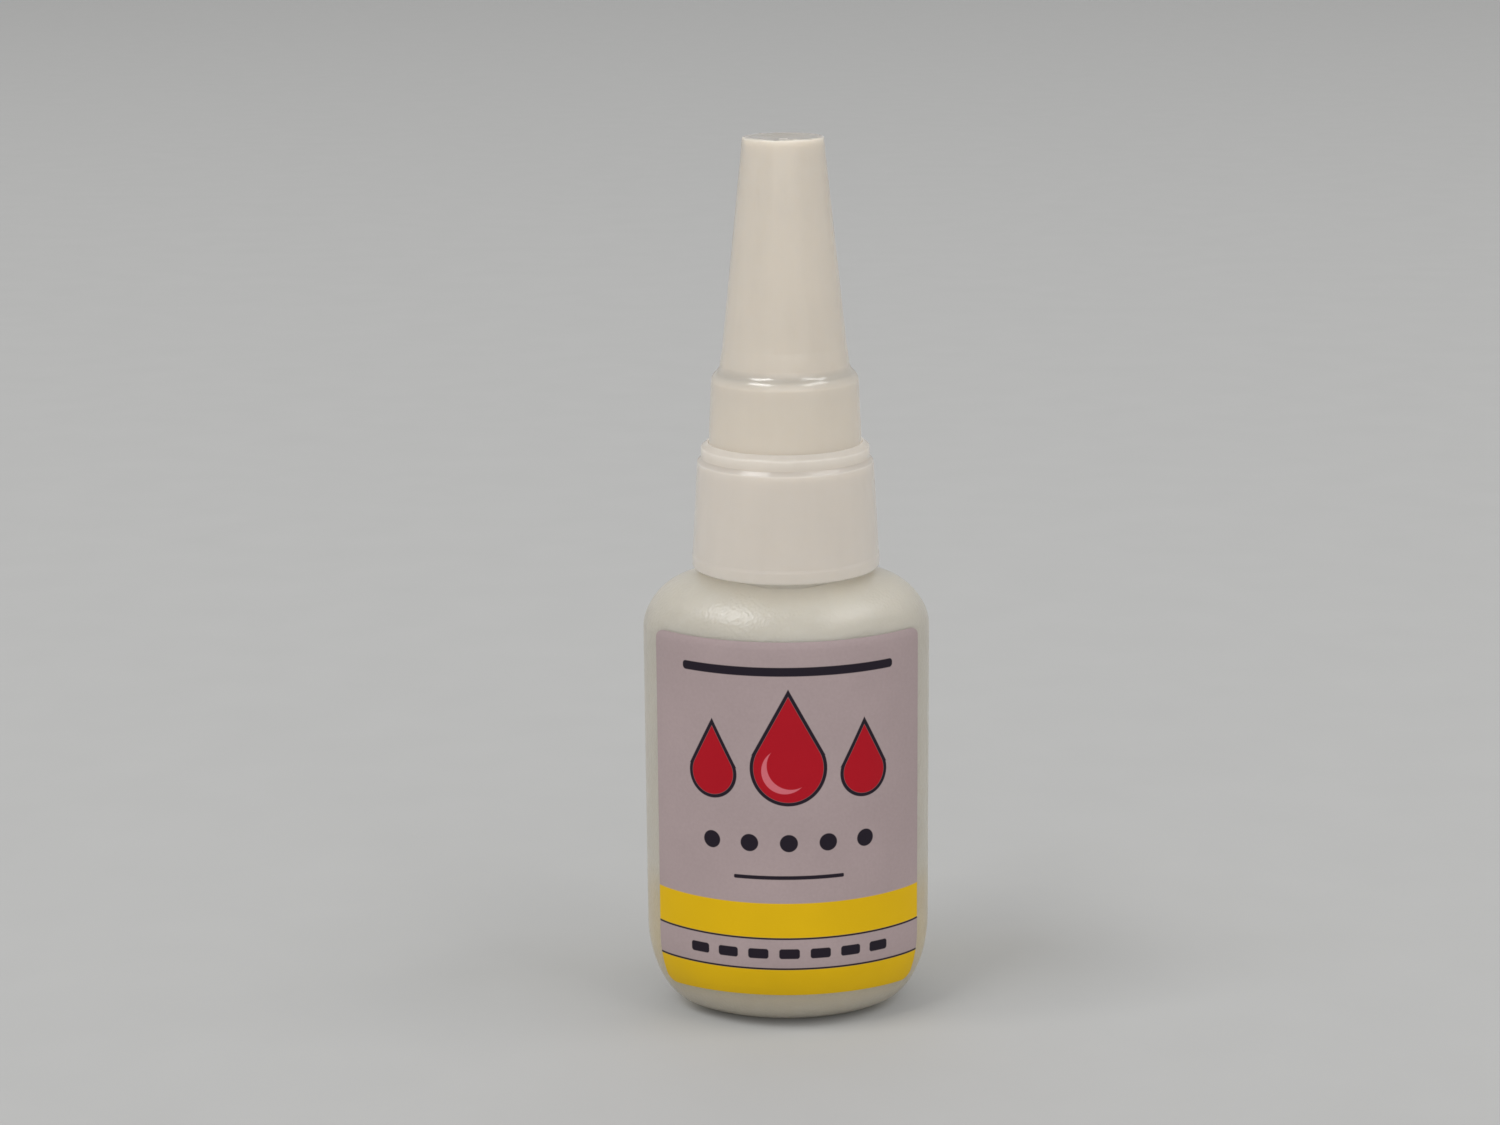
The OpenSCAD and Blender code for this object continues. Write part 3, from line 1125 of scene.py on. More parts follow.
@dataclass(frozen=True)
class LabelPrint:
    """Generic print in millimetres above the label's lower edge: bands, drops, a bar, dots and a rule."""

    # Top of the yellow foot, and the bare stripe across it with its dark edges
    foot_top: float = 10.6
    stripe_low: float = 3.0
    stripe_high: float = 6.6
    stripe_edge: float = 0.2
    # Height of the round end's middle, its radius and the tip's height
    large_drop: Point3 = (26.2, 3.9, 34.4)
    small_drop: Point3 = (25.3, 2.5, 30.7)
    small_drop_x: float = 8.7
    drop_line: float = 0.4
    # Place across, height and radius of a pale disc, and of the disc that leaves a crescent of it
    gleam: Point3 = (-0.4, 25.9, 2.6)
    gleam_cut: Point3 = (0.3, 26.5, 2.7)
    # Height, half width, half height and corner radius
    top_bar: BarSize = (37.2, 12.4, 0.5, 0.4)
    thin_rule: BarSize = (13.6, 6.2, 0.22, 0.15)
    dash: BarSize = (4.8, 1.15, 0.55, 0.3)
    dash_pitch: float = 3.5
    dashes_half: float = 12.4
    dot_y: float = 17.6
    dot_r: float = 1.0
    dot_pitch: float = 4.4
    dots_half: float = 11.4
    # How far the foot's ink runs past the label's edge
    bleed: float = 1.0

    def group(self, width: float, height: float) -> bpy.types.NodeTree:
        """Makes the print as masks of its inks.

        Args:
            width: Width of the flat label.
            height: Height of the flat label.

        Returns:
            The group. Its input is the label's flat place from 0 to 1, and its outputs are masks of the inks.
        """
        outputs = [(ink.value, FLOAT) for ink in Ink]
        group, given, result = shared_group("label_artwork", (("Place", VECTOR),), outputs)
        loom = NodeLoom(group)
        parts = loom.node("ShaderNodeSeparateXYZ")
        loom.feed(parts.inputs[0], given.outputs["Place"])
        across = loom.math("MULTIPLY", loom.math("SUBTRACT", parts.outputs["X"], 0.5), width)
        art = Artwork(loom, across, loom.math("MULTIPLY", parts.outputs["Y"], height))

        foot = art.ink(art.band(-self.bleed, self.foot_top))
        bare = art.ink(art.band(self.stripe_low, self.stripe_high))
        beside = loom.math("SUBTRACT", art.side, self.small_drop_x)
        drops = art.either(art.drop(*self.large_drop), art.drop(*self.small_drop, beside))
        crescent = loom.math("MAXIMUM", art.disc(*self.gleam), art.outside(art.disc(*self.gleam_cut)))
        lines = art.either(
            loom.math("MAXIMUM", art.grown(drops, self.drop_line), art.outside(drops)),
            art.band(self.stripe_low, self.stripe_low + self.stripe_edge),
            art.band(self.stripe_high - self.stripe_edge, self.stripe_high),
            art.bar(*self.top_bar),
            art.bar(*self.thin_rule),
            art.within(art.disc(0.0, self.dot_y, self.dot_r, art.repeated(self.dot_pitch)), self.dots_half),
            art.within(art.bar(*self.dash, art.repeated(self.dash_pitch)), self.dashes_half),
        )
        masks = {
            Ink.YELLOW: loom.math("MULTIPLY", foot, loom.math("SUBTRACT", 1.0, bare)),
            Ink.RED: art.ink(drops),
            Ink.PALE: art.ink(crescent),
            Ink.DARK: art.ink(lines),
        }
        loom.fill(result, {ink.value: mask for ink, mask in masks.items()})
        return group


@dataclass(frozen=True)
class LabelFinish:
    """Printed film: a mauve-grey field, a yellow foot and red and dark inks under a satin varnish."""

    name: str = "printed_film"
    field_tint: Colour = tint(166, 149, 149)
    # The inks in the order in which they are laid on
    inks: tuple[tuple[Ink, Colour], ...] = (
        (Ink.YELLOW, tint(218, 176, 0)),
        (Ink.RED, tint(168, 4, 26)),
        (Ink.PALE, tint(204, 104, 114)),
        (Ink.DARK, tint(28, 20, 32)),
    )
    roughness: float = 0.5
    shine: float = 0.2
    bump_mm: float = 0.004
    # Size of the field's specks and of worn patches, and how far they change brightness and roughness
    speck_mm: float = 0.35
    speck_swing: float = 0.03
    worn_mm: float = 9.0
    worn_swing: float = 0.05
    rough_swing: float = 0.06

    def material(self, artwork: bpy.types.NodeTree, flat_map: str) -> bpy.types.Material:
        """Builds the material.

        Args:
            artwork: The group that draws the print.
            flat_map: Name of the map that lays the film flat.

        Returns:
            The material.
        """
        made, loom, shader, place = plain_material(self.name)
        art = loom.node("ShaderNodeGroup", node_tree=artwork)
        loom.feed(art.inputs["Place"], loom.node("ShaderNodeUVMap", uv_map=flat_map).outputs[0])
        speck, worn = loom.noise(place, self.speck_mm), loom.noise(place, self.worn_mm)
        colour = loom.shaded(self.field_tint, loom.swing(speck, FINE_REACH, 1.0, self.speck_swing))
        for ink, ink_tint in self.inks:
            colour = loom.blend(art.outputs[ink.value], colour, ink_tint)
        loom.fill(
            shader,
            {
                "Base Color": loom.shaded(colour, loom.swing(worn, SLOW_REACH, 1.0, self.worn_swing)),
                "Roughness": loom.swing(worn, SLOW_REACH, self.roughness, self.rough_swing),
                "Normal": loom.bump(speck, self.bump_mm),
                "Specular IOR Level": self.shine,
            },
        )
        return made


@dataclass(frozen=True)
class LiquidFinish:
    """Thin clear adhesive, faintly warm."""

    name: str = "clear_adhesive"
    colour: Colour = tint(240, 238, 226)
    haze: Colour = tint(226, 222, 204)
    passing: Colour = (0.95, 0.95, 0.93, 1.0)
    # Size of the hazy patches, and how far their noise strays from one half
    haze_mm: float = 6.0
    haze_reach: float = 0.2
    clear_rough: float = 0.03
    hazy_rough: float = 0.08
    refraction: float = 1.45
    transmission: float = 0.9

    def material(self) -> bpy.types.Material:
        """Builds the material.

        Returns:
            The material.
        """
        made, loom, shader, place = plain_material(self.name)
        haze = loom.swing(loom.noise(place, self.haze_mm), self.haze_reach, 0.5, 0.5)
        loom.fill(
            shader,
            {
                "Base Color": loom.blend(haze, self.colour, self.haze),
                "Roughness": loom.span(haze, 0.0, 1.0, self.clear_rough, self.hazy_rough),
                "IOR": self.refraction,
                "Transmission Weight": self.transmission,
            },
        )
        let_light_through(loom, shader, self.passing)
        return made


def place_piece(
    piece: bpy.types.Object, material: bpy.types.Material, body: Body, node: Node
) -> None:
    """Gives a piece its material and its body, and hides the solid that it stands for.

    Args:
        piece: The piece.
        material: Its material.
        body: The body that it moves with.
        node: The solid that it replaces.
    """
    piece.data.materials.append(material)
    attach(piece, body.value)
    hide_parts(node.value)


def turned_piece(
    name: str,
    corners: Sequence[Corner],
    closed: bool,
    steps: int,
    shift: Shift | None = None,
    rib: ThreadRib | None = None,
) -> bpy.types.Object:
    """Builds a turned piece, with even shading on straight walls next to rounded edges.

    Args:
        name: The piece's name.
        corners: Corners of its outline.
        closed: Whether the outline runs back into its first corner.
        steps: Faces in one turn.
        shift: Moves a point, given its radius, height and angle, to another radius and height.
        rib: Its thread.

    Returns:
        The piece.
    """
    draft = MeshDraft()
    turn_outline(draft, rounded_outline(corners, closed), closed, steps, shift)
    if rib:
        rib.add_to(draft)
    piece = draft.build(name)
    piece.modifiers.new("even_normals", "WEIGHTED_NORMAL").keep_sharp = True
    return piece


@dataclass(frozen=True)
class Stray:
    """Random change of a size along a line."""

    share: float
    pace: float
    # Which line through the noise it follows
    line: float

    def at(self, x: float) -> float:
        """Gives the change at a place along the line."""
        return self.share * noise.noise(Vector((self.pace * x, self.line, 0.0)))


@dataclass
class SqueezeBottle:
    """The blow-moulded bottle: oval body, hollow base with its pinch-off seam, and threaded neck."""

    shape: OvalBody
    lip_z: float
    finish: MouldedFinish
    wall: float = 1.0
    foot_w: float = 1.5
    push_up_h: float = 0.9
    push_up_r: float = 0.7
    # Seam of the pinch-off: width, height, room at its ends, depth of its root, rounding and flat share
    pinch_w: float = 0.6
    pinch_h: float = 0.35
    pinch_room: float = 0.2
    pinch_root: float = 0.2
    pinch_round: float = 0.12
    pinch_flat: float = 0.6
    pinch_h_stray: Stray = Stray(share=0.12, pace=0.9, line=3.1)
    pinch_w_stray: Stray = Stray(share=0.15, pace=0.7, line=7.7)
    pinch_steps: int = 40
    neck_r: float = 7.5
    bore_r: float = 5.7
    neck_fillet: float = 0.15
    lip_round: float = 0.25
    mouth_bevel: float = 0.4
    thread_crest_r: float = 8.22
    thread_pitch: float = 3.0
    thread_turns: float = 2.4
    # How far below the lip the thread ends
    thread_drop: float = 0.9
    wall_ring_pitch: float = 2.4
    # Where the oval shoulder starts to turn into the round root of the neck
    oval_end: float = 3.4
    # Where the inner shoulder stops, so that it meets the bore
    inner_end: float = 6.3
    round_steps: int = 16
    floor_steps: int = 4
    blend_steps: int = 8

    def heel_insets(self, inset: float) -> list[Point2]:
        """Lists places up the rounded heel, from the foot to the wall.

        Args:
            inset: How far inside the true form they lie.

        Returns:
            Inset and height of each.
        """
        edge = self.shape.heel.inner(inset)
        levels = edge.levels(edge.reach, self.round_steps)
        return [(inset + drawn, self.shape.heel.tall - past) for drawn, past in reversed(levels)]

    def shoulder_insets(self, inset: float, end: float) -> list[Point2]:
        """Lists inset and height up the rounded shoulder, from the wall to a last inset."""
        levels = self.shape.shoulder.inner(inset).levels(end - inset, self.round_steps)
        return [(inset + drawn, self.shape.wall_top + past) for drawn, past in levels]

    def floor_insets(self, inset: float) -> list[Point2]:
        """Lists places on the floor inside, from its middle over the dome's edge to the heel.

        Args:
            inset: How far inside the true form they lie.

        Returns:
            Inset and height of each.
        """
        edge = self.shape.heel.reach + self.foot_w - inset
        over = (self.shape.side_r - edge) / 2.0
        first = math.asin(1.0 - self.push_up_h / over)
        turns = [QUARTER - (QUARTER - first) * i / self.floor_steps for i in range(self.floor_steps + 1)]
        crown = self.push_up_h + inset
        return [(edge + over * (1.0 - math.cos(a)), crown - over * (1.0 - math.sin(a))) for a in turns]

    def wall_insets(self, inset: float, low: float, high: float) -> list[Point2]:
        """Lists inset and height up the straight wall, without its ends."""
        steps = max(2, round((high - low) / self.wall_ring_pitch))
        return [(inset, low + (high - low) * i / steps) for i in range(1, steps)]

    def base_insets(self) -> list[Point2]:
        """Lists places from the middle of the hollow base out to the foot.

        Returns:
            Inset and height of each.
        """
        edge = self.shape.heel.reach + self.foot_w
        corners = [
            Corner(edge + 2.0 * self.push_up_r, self.push_up_h),
            Corner(edge, self.push_up_h, self.push_up_r),
            Corner(edge, 0.0, Fillet.FINE),
            Corner(self.shape.heel.reach, 0.0),
        ]
        return rounded_outline(corners, closed=False)[1:-1]

    def skin_point(self, column: SkinColumn, inset: float, z: float) -> Point3:
        """Places a point of the moulded skin, with its sway and the parting ridge.

        Args:
            column: The column that it lies on.
            inset: How far inside the true outline its level lies.
            z: Its height.

        Returns:
            The point.
        """
        x, y = column.at(inset)
        sink = self.shape.skin_sink(x, y, z) * (1.0 - column.ridge) + self.shape.least_sink
        fade = min(1.0, z / self.shape.heel.tall)
        x, y = column.at(inset + sink * fade)
        return x, y, z

    def add_outside(self, draft: MeshDraft, columns: Sequence[SkinColumn]) -> list[list[int]]:
        """Adds the outer rings, from the hollow base up to the root of the neck.

        Args:
            draft: The draft that takes the points.
            columns: The skin's columns.

        Returns:
            The rings, from the middle of the base.
        """
        shape = self.shape
        levels = self.base_insets()
        levels += self.heel_insets(0.0)
        levels += self.wall_insets(0.0, shape.heel.tall, shape.wall_top)
        levels += self.shoulder_insets(0.0, self.oval_end)
        rings = [draft.ring(self.skin_point(c, inset, z) for c in columns) for inset, z in levels]
        root_r = self.neck_r + self.neck_fillet
        for i in range(1, self.blend_steps + 1):
            share = i / self.blend_steps
            points = []
            for column in columns:
                x, y, _ = self.skin_point(column, self.oval_end, shape.height)
                angle = math.atan2(y, x)
                x += (root_r * math.cos(angle) - x) * share
                y += (root_r * math.sin(angle) - y) * share
                points.append((x, y, shape.height_over(x, y) - shape.sink * (1.0 - share)))
            rings.append(draft.ring(points))
        return rings

    def add_neck(self, draft: MeshDraft, root: Sequence[int]) -> list[list[int]]:
        """Adds the rings of the neck: its root fillet, outside, lip and bore.

        Args:
            draft: The draft that takes the points.
            root: The ring at the root of the neck.

        Returns:
            The rings, from the root over the lip to the foot of the bore.
        """
        shape, fillet = self.shape, self.neck_fillet
        angles = [math.atan2(draft.points[i][1], draft.points[i][0]) for i in root]
        feet = [draft.points[i][2] for i in root]
        rings = []
        for i in range(1, self.blend_steps + 1):
            ease = i / self.blend_steps
            r = self.neck_r + fillet * (1.0 - math.sin(QUARTER * ease))
            rise = fillet * (1.0 - math.cos(QUARTER * ease))
            heights = [z + (shape.height - z) * ease + rise for z in feet]
            rings.append(draft.ring((r * math.cos(a), r * math.sin(a), z) for a, z in zip(angles, heights)))
        corners = [
            Corner(self.neck_r, shape.height + fillet),
            Corner(self.neck_r, self.lip_z, self.lip_round),
            Corner(self.bore_r + self.mouth_bevel, self.lip_z, Fillet.CRISP),
            Corner(self.bore_r, self.lip_z - self.mouth_bevel, Fillet.EASED),
            Corner(self.bore_r, shape.height - self.wall),
        ]
        for r, z in rounded_outline(corners, closed=False)[1:]:
            rings.append(draft.ring((r * math.cos(a), r * math.sin(a), z) for a in angles))
        return rings

    def add_inside(self, draft: MeshDraft, columns: Sequence[SkinColumn]) -> list[list[int]]:
        """Adds the inner rings, from under the shoulder down to the middle of the floor.

        Args:
            draft: The draft that takes the points.
            columns: The skin's columns.

        Returns:
            The rings, from the top.
        """
        shape, wall = self.shape, self.wall
        levels = self.floor_insets(wall) + self.heel_insets(wall)
        levels += self.wall_insets(wall, shape.heel.tall, shape.wall_top)
        levels += self.shoulder_insets(wall, self.inner_end)
        return [draft.ring((*c.at(inset), z) for c in columns) for inset, z in reversed(levels)]

    def add_pinch_seam(self, draft: MeshDraft) -> None:
        """Adds the low rounded ridge that the mould's pinch-off leaves across the hollow base.

        Args:
            draft: The draft that takes the faces.
        """
        half_l = self.shape.width / 2.0 - self.shape.heel.reach - self.foot_w - self.pinch_room
        top, low = self.push_up_h + self.pinch_root, self.push_up_h - self.pinch_h
        rows = []
        for i in range(self.pinch_steps + 1):
            x = half_l * (2.0 * i / self.pinch_steps - 1.0)
            deep = low + self.pinch_h * self.pinch_h_stray.at(x)
            wide = self.pinch_w / 2.0 * (1.0 + self.pinch_w_stray.at(x))
            half = [(wide, top), (wide, deep + self.pinch_round), (self.pinch_flat * wide, deep)]
            left, right = [(x, -y, z) for y, z in half], [(x, y, z) for y, z in reversed(half)]
            rows.append(draft.ring(left + right))
        draft.rod(rows)

    def build(self) -> bpy.types.Object:
        """Builds the bottle's mesh.

        Returns:
            The piece.
        """
        draft = MeshDraft()
        columns = self.shape.columns()
        rings = self.add_outside(draft, columns)
        rings += self.add_neck(draft, rings[-1])
        rings += self.add_inside(draft, columns)
        draft.stack(rings)
        draft.fan(rings[0], (0.0, 0.0, self.push_up_h), facing_up=False)
        draft.fan(rings[-1], (0.0, 0.0, self.push_up_h + self.wall), facing_up=True)
        self.add_pinch_seam(draft)
        ThreadRib(
            root_r=self.neck_r,
            crest_r=self.thread_crest_r,
            start_z=self.lip_z - self.thread_drop - self.thread_turns * self.thread_pitch,
            turns=self.thread_turns,
            pitch=self.thread_pitch,
        ).add_to(draft)
        return draft.build("bottle_shell")

    def dress(self, piece: bpy.types.Object, group: bpy.types.NodeTree) -> None:
        """Gives the bottle its plastic and its body."""
        place_piece(piece, self.finish.material(group), Body.BOTTLE, Node.BOTTLE)


@dataclass
class FrontLabel:
    """The thin film on the front face, wrapped over the body's skin."""

    shape: OvalBody
    half_w: float
    low: float
    high: float
    finish: LabelFinish
    corner_r: float = 0.9
    lift: float = 0.02
    film: float = 0.1
    # How far the film's foot and its lower corners settle below its straight edge, and up to what height
    foot_drop: float = 0.5
    corner_drop: float = 0.6
    settle_h: float = 9.0
    across_steps: int = 72
    up_steps: int = 40
    corner_steps: int = 6
    flat_map: str = "flat_film"

    @property
    def half_len(self) -> float:
        """Half the film's width, measured along the skin."""
        return self.shape.along_front(self.half_w)

    def row_heights(self) -> list[float]:
        """Lists the heights of the film's rows, close together at its round corners.

        Returns:
            The heights, from the foot.
        """
        turns = [QUARTER * i / self.corner_steps for i in range(self.corner_steps + 1)]
        foot = [self.low + self.corner_r * (1.0 - math.cos(a)) for a in turns]
        head = [self.high - self.corner_r * (1.0 - math.cos(a)) for a in reversed(turns)]
        start, end = foot[-1], head[0]
        middle = [start + (end - start) * i / self.up_steps for i in range(1, self.up_steps)]
        return foot + middle + head

    def reach_at(self, z: float) -> float:
        """Gives how far the film reaches across at a height."""
        past = max(self.low + self.corner_r - z, z - self.high + self.corner_r, 0.0)
        return self.half_w - self.corner_r + math.sqrt(max(0.0, self.corner_r**2 - past**2))

    def settled(self, along: float, z: float) -> float:
        """Gives the height at which the film lies, lower towards its foot.

        Args:
            along: Length along the skin, to the right of the middle.
            z: Height on the film as it is cut.

        Returns:
            The height.
        """
        share = max(0.0, 1.0 - (z - self.low) / self.settle_h) ** 2
        side = along / self.half_len
        return z - share * (self.foot_drop + self.corner_drop * side * side)

    def film_point(self, along: float, z: float, lift: float) -> Point3:
        """Places a point of the film.

        Args:
            along: Length along the skin, to the right of the middle.
            z: Height.
            lift: Distance from the skin.

        Returns:
            The point.
        """
        column = self.shape.front_angle(along)
        z = self.settled(along, z)
        inset, rise = self.shape.inset_at_height(z), self.shape.slope_at_height(z)
        x, y = column.at(inset)
        out = lift - self.shape.skin_sink(x, y, z) - self.shape.least_sink
        x, y = column.at(inset - out * math.sqrt(1.0 - rise * rise))
        return x, y, z + out * rise

    def build(self) -> bpy.types.Object:
        """Builds the film as a closed sheet, with a map that lays it flat.

        Returns:
            The piece.
        """
        draft = MeshDraft()
        width = 2.0 * self.half_len
        heights = self.row_heights()
        flat: list[Point2] = []
        sides = []
        for lift in (self.lift + self.film, self.lift):
            rows = []
            for z in heights:
                reach = self.shape.along_front(self.reach_at(z))
                alongs = [reach * (2.0 * i / self.across_steps - 1.0) for i in range(self.across_steps + 1)]
                rows.append(draft.ring(self.film_point(s, z, lift) for s in alongs))
                flat += [(s / width + 0.5, (z - self.low) / (self.high - self.low)) for s in alongs]
            sides.append(rows)
        front, back = sides
        draft.stack(front, closed=False)
        for lower, upper in zip(back, back[1:]):
            draft.bridge(upper, lower, closed=False)
        rims = []
        for rows in sides:
            right, left = [row[-1] for row in rows[1:-1]], [row[0] for row in rows[-2:0:-1]]
            rims.append(rows[0] + right + rows[-1][::-1] + left)
        draft.bridge(rims[1], rims[0])
        piece = draft.build("front_label_film")
        layer = piece.data.uv_layers.new(name=self.flat_map)
        for loop in piece.data.loops:
            layer.data[loop.index].uv = flat[loop.vertex_index]
        return piece

    def dress(self, piece: bpy.types.Object) -> None:
        """Gives the film its print and its body."""
        artwork = LabelPrint().group(2.0 * self.half_len, self.high - self.low)
        place_piece(piece, self.finish.material(artwork, self.flat_map), Body.BOTTLE, Node.LABEL)


@dataclass
class AdhesiveFill:
    """The liquid in the bottle, up to its level, with a small meniscus at the wall."""

    bottle: SqueezeBottle
    level: float
    finish: LiquidFinish
    gap: float = 0.03
    # Rise of the meniscus, how fast it falls, and the places of its rings
    meniscus: float = 0.35
    meniscus_fall: float = 2.5
    meniscus_places: tuple[float, ...] = (0.0, 0.2, 0.5, 1.0, 2.0, 4.0)

    def build(self) -> bpy.types.Object:
        """Builds the liquid's closed mesh.

        Returns:
            The piece.
        """
        draft = MeshDraft()
        bottle = self.bottle
        shape, inset = bottle.shape, bottle.wall + self.gap
        columns = shape.columns()
        levels = bottle.floor_insets(inset) + bottle.heel_insets(inset)
        levels += bottle.wall_insets(inset, shape.heel.tall, self.level)
        for place in self.meniscus_places:
            fallen = self.meniscus * (1.0 - math.exp(-self.meniscus_fall * place))
            levels.append((inset + place, self.level - fallen))
        rings = [draft.ring((*c.at(i), z) for c in columns) for i, z in levels]
        draft.stack(rings)
        draft.fan(rings[0], (0.0, 0.0, bottle.push_up_h + inset), facing_up=False)
        draft.fan(rings[-1], (0.0, 0.0, self.level - self.meniscus), facing_up=True)
        return draft.build("adhesive_fill")

    def dress(self, piece: bpy.types.Object) -> None:
        """Gives the liquid its finish and its body."""
        place_piece(piece, self.finish.material(), Body.BOTTLE, Node.GLUE)


@dataclass
class DropperNozzle:
    """The dropper: a plug in the neck, a flange, a boss with two beads and a long hollow tip."""

    low: float
    tip_z: float
    flange_r: float
    lip_z: float
    deck_top: float
    finish: MouldedFinish
    plug_r: float = 5.65
    plug_bevel: float = 0.5
    flange_t: float = 1.2
    seat_gap: float = 0.02
    channel_r: float = 4.0
    boss_r: float = 5.2
    boss_h: float = 6.4
    keep_bead: float = 0.5
    grip_bead: float = 0.2
    bead_half_h: float = 0.5
    # Shares of a bead's height and of its width that are flat and round
    bead_flat: float = 0.45
    bead_round: float = 0.5
    grip_drop: float = 2.0
    boss_round: float = 0.4
    tip_foot_r: float = 3.8
    tip_foot_round: float = 0.35
    tip_end_r: float = 1.3
    tip_wall: float = 1.4
    orifice_r: float = 0.6
    orifice_len: float = 6.0
    orifice_round: float = 0.25
    steps: int = 128

    def bead(self, z: float, out: float) -> list[Corner]:
        """Lists the corners of a round bead on the boss.

        Args:
            z: Height of its middle.
            out: How far it stands out.

        Returns:
            The corners, upwards.
        """
        half, flat, soft = self.bead_half_h, self.bead_flat * self.bead_half_h, self.bead_round * out
        return [
            Corner(self.boss_r, z - half, Fillet.CRISP),
            Corner(self.boss_r + out, z - flat, soft),
            Corner(self.boss_r + out, z + flat, soft),
            Corner(self.boss_r, z + half, Fillet.CRISP),
        ]

    def build(self) -> bpy.types.Object:
        """Builds the dropper's mesh.

        Returns:
            The piece.
        """
        flange_low = self.lip_z + self.seat_gap
        flange_top = flange_low + self.flange_t
        boss_z = self.deck_top + self.boss_h
        throat_r = self.tip_foot_r - self.tip_wall
        throat_low = boss_z - (self.channel_r - throat_r)
        keep_z = self.deck_top + self.seat_gap + self.bead_half_h
        corners = [
            Corner(self.channel_r, self.low, Fillet.CRISP),
            Corner(self.plug_r - self.plug_bevel, self.low, Fillet.FINE),
            Corner(self.plug_r, self.low + self.plug_bevel, Fillet.EASED),
            Corner(self.plug_r, flange_low, Fillet.CRISP),
            Corner(self.flange_r, flange_low, Fillet.FINE),
            Corner(self.flange_r, flange_top, Fillet.FINE),
            Corner(self.boss_r, flange_top, Fillet.CREASE),
            *self.bead(keep_z, self.keep_bead),
            *self.bead(boss_z - self.grip_drop, self.grip_bead),
            Corner(self.boss_r, boss_z, self.boss_round),
            Corner(self.tip_foot_r, boss_z, self.tip_foot_round),
            Corner(self.tip_end_r, self.tip_z, Fillet.SOFT),
            Corner(self.orifice_r, self.tip_z, self.orifice_round),
            Corner(self.orifice_r, self.tip_z - self.orifice_len, Fillet.EASED),
            Corner(throat_r, boss_z, Fillet.SOFT),
            Corner(self.channel_r, throat_low, Fillet.SOFT),
        ]
        return turned_piece("dropper_tip", corners, True, self.steps)

    def dress(self, piece: bpy.types.Object, group: bpy.types.NodeTree) -> None:
        """Gives the dropper its plastic and its body."""
        place_piece(piece, self.finish.material(group), Body.DROPPER, Node.DROPPER)


@dataclass
class ScrewCollar:
    """The tapered collar: foot band, deck with its hole, guard ring and inner thread."""

    low: float
    guard_top: float
    foot_r: float
    cap_foot_r: float
    finish: MouldedFinish
    flare: float = 0.66
    band_h: float = 1.3
    band_out: float = 0.06
    band_slope_h: float = 0.3
    # Sloped ledge below the ring: its width, rounding, rise and the share of that below the deck's level
    ledge_w: float = 0.44
    ledge_r: float = 0.3
    ledge_rise: float = 0.5
    ledge_below: float = 0.3
    guard_h: float = 2.1
    guard_wall_h: float = 1.5
    guard_round: float = 0.3
    guard_play: float = 0.03
    seat_round: float = 0.08
    deck_t: float = 1.66
    hole_r: float = 5.3
    thread_root_r: float = 8.45
    thread_crest_r: float = 7.74
    thread_pitch: float = 3.0
    thread_turns: float = 1.9
    # How far above the lead-in the thread starts
    thread_rise: float = 0.75
    lead_in_h: float = 1.4
    lead_in_w: float = 0.45
    lead_in_round: float = 0.12
    steps: int = 160

    @property
    def deck_top(self) -> float:
        """Height of the deck that the cap stands on."""
        return self.guard_top - self.guard_h

    def build(self) -> bpy.types.Object:
        """Builds the collar's mesh.

        Returns:
            The piece.
        """
        top_r = self.foot_r - self.flare
        guard_r = top_r - self.ledge_w
        guard_in = self.cap_foot_r + self.guard_play
        wall_r = self.foot_r - self.band_out
        band_z = self.low + self.band_h
        ledge_z = self.deck_top - self.ledge_below * self.ledge_rise
        corners = [
            Corner(self.thread_root_r + self.lead_in_w, self.low, self.lead_in_round),
            Corner(self.foot_r, self.low, Fillet.SOFT),
            Corner(self.foot_r, band_z, Fillet.CREASE),
            Corner(wall_r, band_z + self.band_slope_h, Fillet.SOFT),
            Corner(top_r, ledge_z, self.ledge_r),
            Corner(guard_r, ledge_z + self.ledge_rise, self.ledge_r),
            Corner(guard_r, self.deck_top + self.guard_wall_h, self.guard_round),
            Corner(guard_in, self.guard_top, Fillet.CREASE),
            Corner(guard_in, self.deck_top, self.seat_round),
            Corner(self.hole_r, self.deck_top, Fillet.CRISP),
            Corner(self.hole_r, self.deck_top - self.deck_t, Fillet.CRISP),
            Corner(self.thread_root_r, self.deck_top - self.deck_t, Fillet.FINE),
            Corner(self.thread_root_r, self.low + self.lead_in_h, Fillet.EASED),
        ]
        rib = ThreadRib(
            root_r=self.thread_root_r,
            crest_r=self.thread_crest_r,
            start_z=self.low + self.lead_in_h + self.thread_rise,
            turns=self.thread_turns,
            pitch=self.thread_pitch,
        )
        return turned_piece("screw_collar_skirt", corners, True, self.steps, rib=rib)

    def dress(self, piece: bpy.types.Object, group: bpy.types.NodeTree) -> None:
        """Gives the collar its plastic and its body."""
        place_piece(piece, self.finish.material(group), Body.COLLAR, Node.COLLAR)


